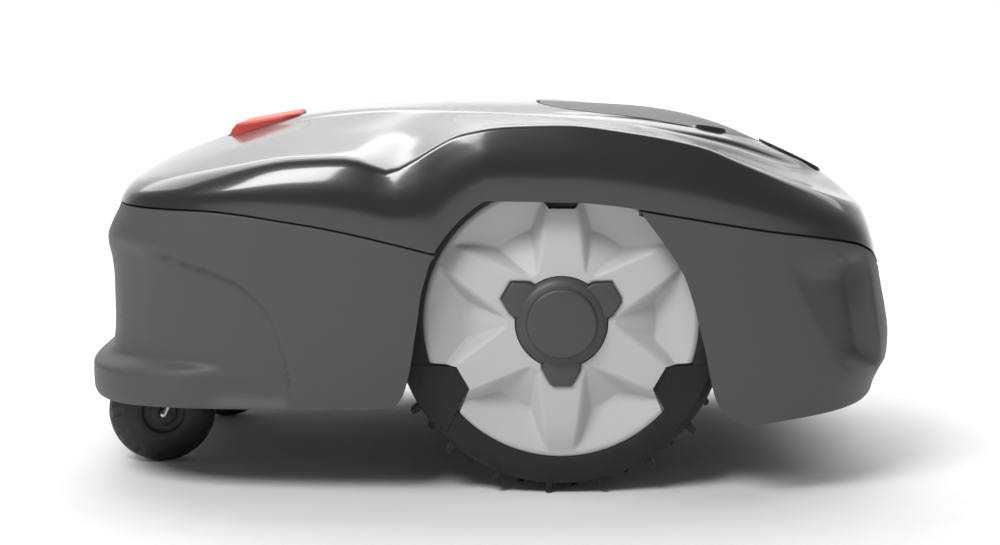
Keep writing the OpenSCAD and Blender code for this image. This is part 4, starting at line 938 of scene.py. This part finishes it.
def makeCasterWheel(side):
    c = casterShape
    joint = next(j for j in frame["joints"] if j["name"] == "caster_wheel_" + side + "_spin")
    centre, axis = Vector(joint["pos_m"]), Vector(joint["axis"]).normalized()
    across = [k * 14 / 24 for k in range(25)]
    half = [(crownAt(u), u) for u in across] + c["face"]
    profile = [(r, -u) for r, u in reversed(half[1:])] + half
    bm = bmesh.new()
    reach = Vector((0, 0, 1))
    lathe(bm, profile, centre / mm, axis, reach, c["steps"])
    sideways = axis.cross(reach)
    for v in bm.verts:
        away = v.co - centre
        u = away.dot(axis) / mm
        flat = away - axis * away.dot(axis)
        r = flat.length / mm
        if r < 29:
            continue
        turn = atan2(flat.dot(sideways), flat.dot(reach)) / (2 * pi) * c["count"] / 2
        phase = (turn + (0.25 if u > 0 else -0.25) + u * c["slant"]) % 1
        side0 = ease((abs(u) - 1.2) / 0.8)             # grooves run out to the shoulder by turns
        deep = c["groove"] * ease((c["grooveWidth"] - abs(phase - 0.5)) / 0.06) * side0
        v.co -= flat.normalized() * deep * mm
    bmesh.ops.recalc_face_normals(bm, faces=bm.faces)
    return newObject("casterWheel" + side.title(), bm)


for side in ("right", "left"):
    node = "caster_wheel_" + side
    finishPiece(makeCasterWheel(side), nodes[node]["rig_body"], looks["casterRubber"], [node],
                50)
print("casters done")

lookOf = {
    "black_plastic": "blackPlastic", "steel": "rodSteel", "rubber": "postRubber", "battery": "batteryWrap",
    "board": "boardGreen", "motor": "motorAluminium", "bush": "bushPlastic", "contact": "contactBrass",
    "panel": "panelGrey", "lens": "lensGloss", "key": "keyGrey", "knob": "knobGrey", "disc": "discAluminium",
    "blade": "bladeSteel", "stop_red": "stopRed", "cover": "coverGloss", "skirt": "skirtGrain",
    "hatch": "hatchSatin", "tyre": "tyreRubber", "hub": "hubGrey", "cap": "capGrey", "caster": "casterRubber",
}
edgeWidths = {                                         # how far the edges of each piece are rounded, in mm
    "chassis_lower": 1, "chassis_upper": 1, "battery": 1, "height_knob": 0.8, "cutter_carriage": 0.8,
    "control_panel": 0.6, "key_back": 0.7, "key_down": 0.7, "key_up": 0.7, "key_ok": 0.7, "skid_plate": 0.6,
    "blade_disc": 0.5, "drive_motor_right": 0.6, "drive_motor_left": 0.6, "cutting_motor": 0.5,
    "main_board": 0.15, "keypad_board": 0.1, "blade_1": 0.1, "blade_2": 0.1, "blade_3": 0.1,
    "stop_spring": 0, "chassis_seal": 0.15, "display_lens": 0.3, "hatch_pin": 0.2, "caster_clip_right": 0.2,
    "caster_clip_left": 0.2, "charge_contacts": 0.25, "disc_shaft": 0.2,
}
dressed = {"top_cover", "rear_skirt", "front_skirt", "hatch", "nose_plate", "stop_button", "hub_right",
           "hub_left", "hub_cap_right", "hub_cap_left", "tyre_right", "tyre_left", "caster_wheel_right",
           "caster_wheel_left"}
for node in sorted(set(nodes) - dressed):
    piece = softCopy(node, edgeWidths.get(node, 0.4))
    finishPiece(piece, nodes[node]["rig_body"], looks[lookOf[slotOf[node]]], [node], 35)
print("other pieces:", len(set(nodes) - dressed))

stageShape = {"half": 4.0, "back": 2.2, "bend": 0.7, "height": 3.5, "color": (0.86, 0.86, 0.86)}


def makeStage():
    s = stageShape
    bm = bmesh.new()
    path = [(-s["half"], 0), (s["back"] - s["bend"], 0)]
    path += [(s["back"] - s["bend"] + s["bend"] * sin(radians(9 * k)), s["bend"] * (1 - cos(radians(9 * k))))
             for k in range(1, 11)]
    path.append((s["back"], s["height"]))
    line = [bm.verts.new((-s["half"], y, z)) for y, z in path]
    edges = [bm.edges.new(pair) for pair in zip(line, line[1:])]
    out = bmesh.ops.extrude_edge_only(bm, edges=edges)["geom"]
    bmesh.ops.translate(bm, vec=(2 * s["half"], 0, 0),
                        verts=[g for g in out if isinstance(g, bmesh.types.BMVert)])
    bmesh.ops.recalc_face_normals(bm, faces=bm.faces)
    sweep = newObject("studioSweep", bm)
    material, tree, shader = newMaterial("studioPaper")
    paper = noiseOn(tree, 40, 3)
    rampTo(tree, paper.outputs["Fac"], shader.inputs["Base Color"], shade(s["color"], 0.985),
           shade(s["color"], 1.01))
    shader.inputs["Roughness"].default_value = 0.9
    shader.inputs["Specular IOR Level"].default_value = 0.1
    sweep.data.materials.append(material)
    for p in sweep.data.polygons:
        p.use_smooth = True


def addSoftbox(name, place, aim, size, power):
    lamp = bpy.data.lights.new(name, "AREA")
    lamp.shape = "RECTANGLE"
    lamp.size, lamp.size_y = size
    lamp.energy = power
    box = bpy.data.objects.new(name, lamp)
    scene.collection.objects.link(box)
    box.location = place
    box.rotation_euler = (Vector(aim) - Vector(place)).to_track_quat("-Z", "Y").to_euler()


studio = {
    "world": 0.24,
    "boxes": [
        ("topBox", (0.2, 0.9, 1.6), (0.1, 0.0, 0.2), (4.0, 1.6), 42),
        ("frontBox", (-0.7, -1.2, 1.5), (0.0, 0.0, 0.1), (0.9, 0.6), 27),
        ("backdropBox", (0.0, 1.2, 2.2), (0.0, 2.2, 1.0), (2.4, 0.6), 30),
    ],
    "camera": (0.0063, -1.400, 0.3138), "tilt": 7.75, "lens": 69.05,
}
makeStage()
for name, place, aim, size, power in studio["boxes"]:
    addSoftbox(name, place, aim, size, power)
world = bpy.data.worlds.new("studioAir")
world.use_nodes = True
world.node_tree.nodes["Background"].inputs["Color"].default_value = (1, 1, 1, 1)
world.node_tree.nodes["Background"].inputs["Strength"].default_value = studio["world"]
scene.world = world
camera = bpy.data.cameras.new("photoCamera")
camera.lens = studio["lens"]
camera.sensor_width = 36
cameraObject = bpy.data.objects.new("photoCamera", camera)
scene.collection.objects.link(cameraObject)
cameraObject.location = studio["camera"]
cameraObject.rotation_euler = (radians(90 - studio["tilt"]), 0, 0)
scene.camera = cameraObject
scene.view_settings.view_transform = "Standard"
print("studio done")
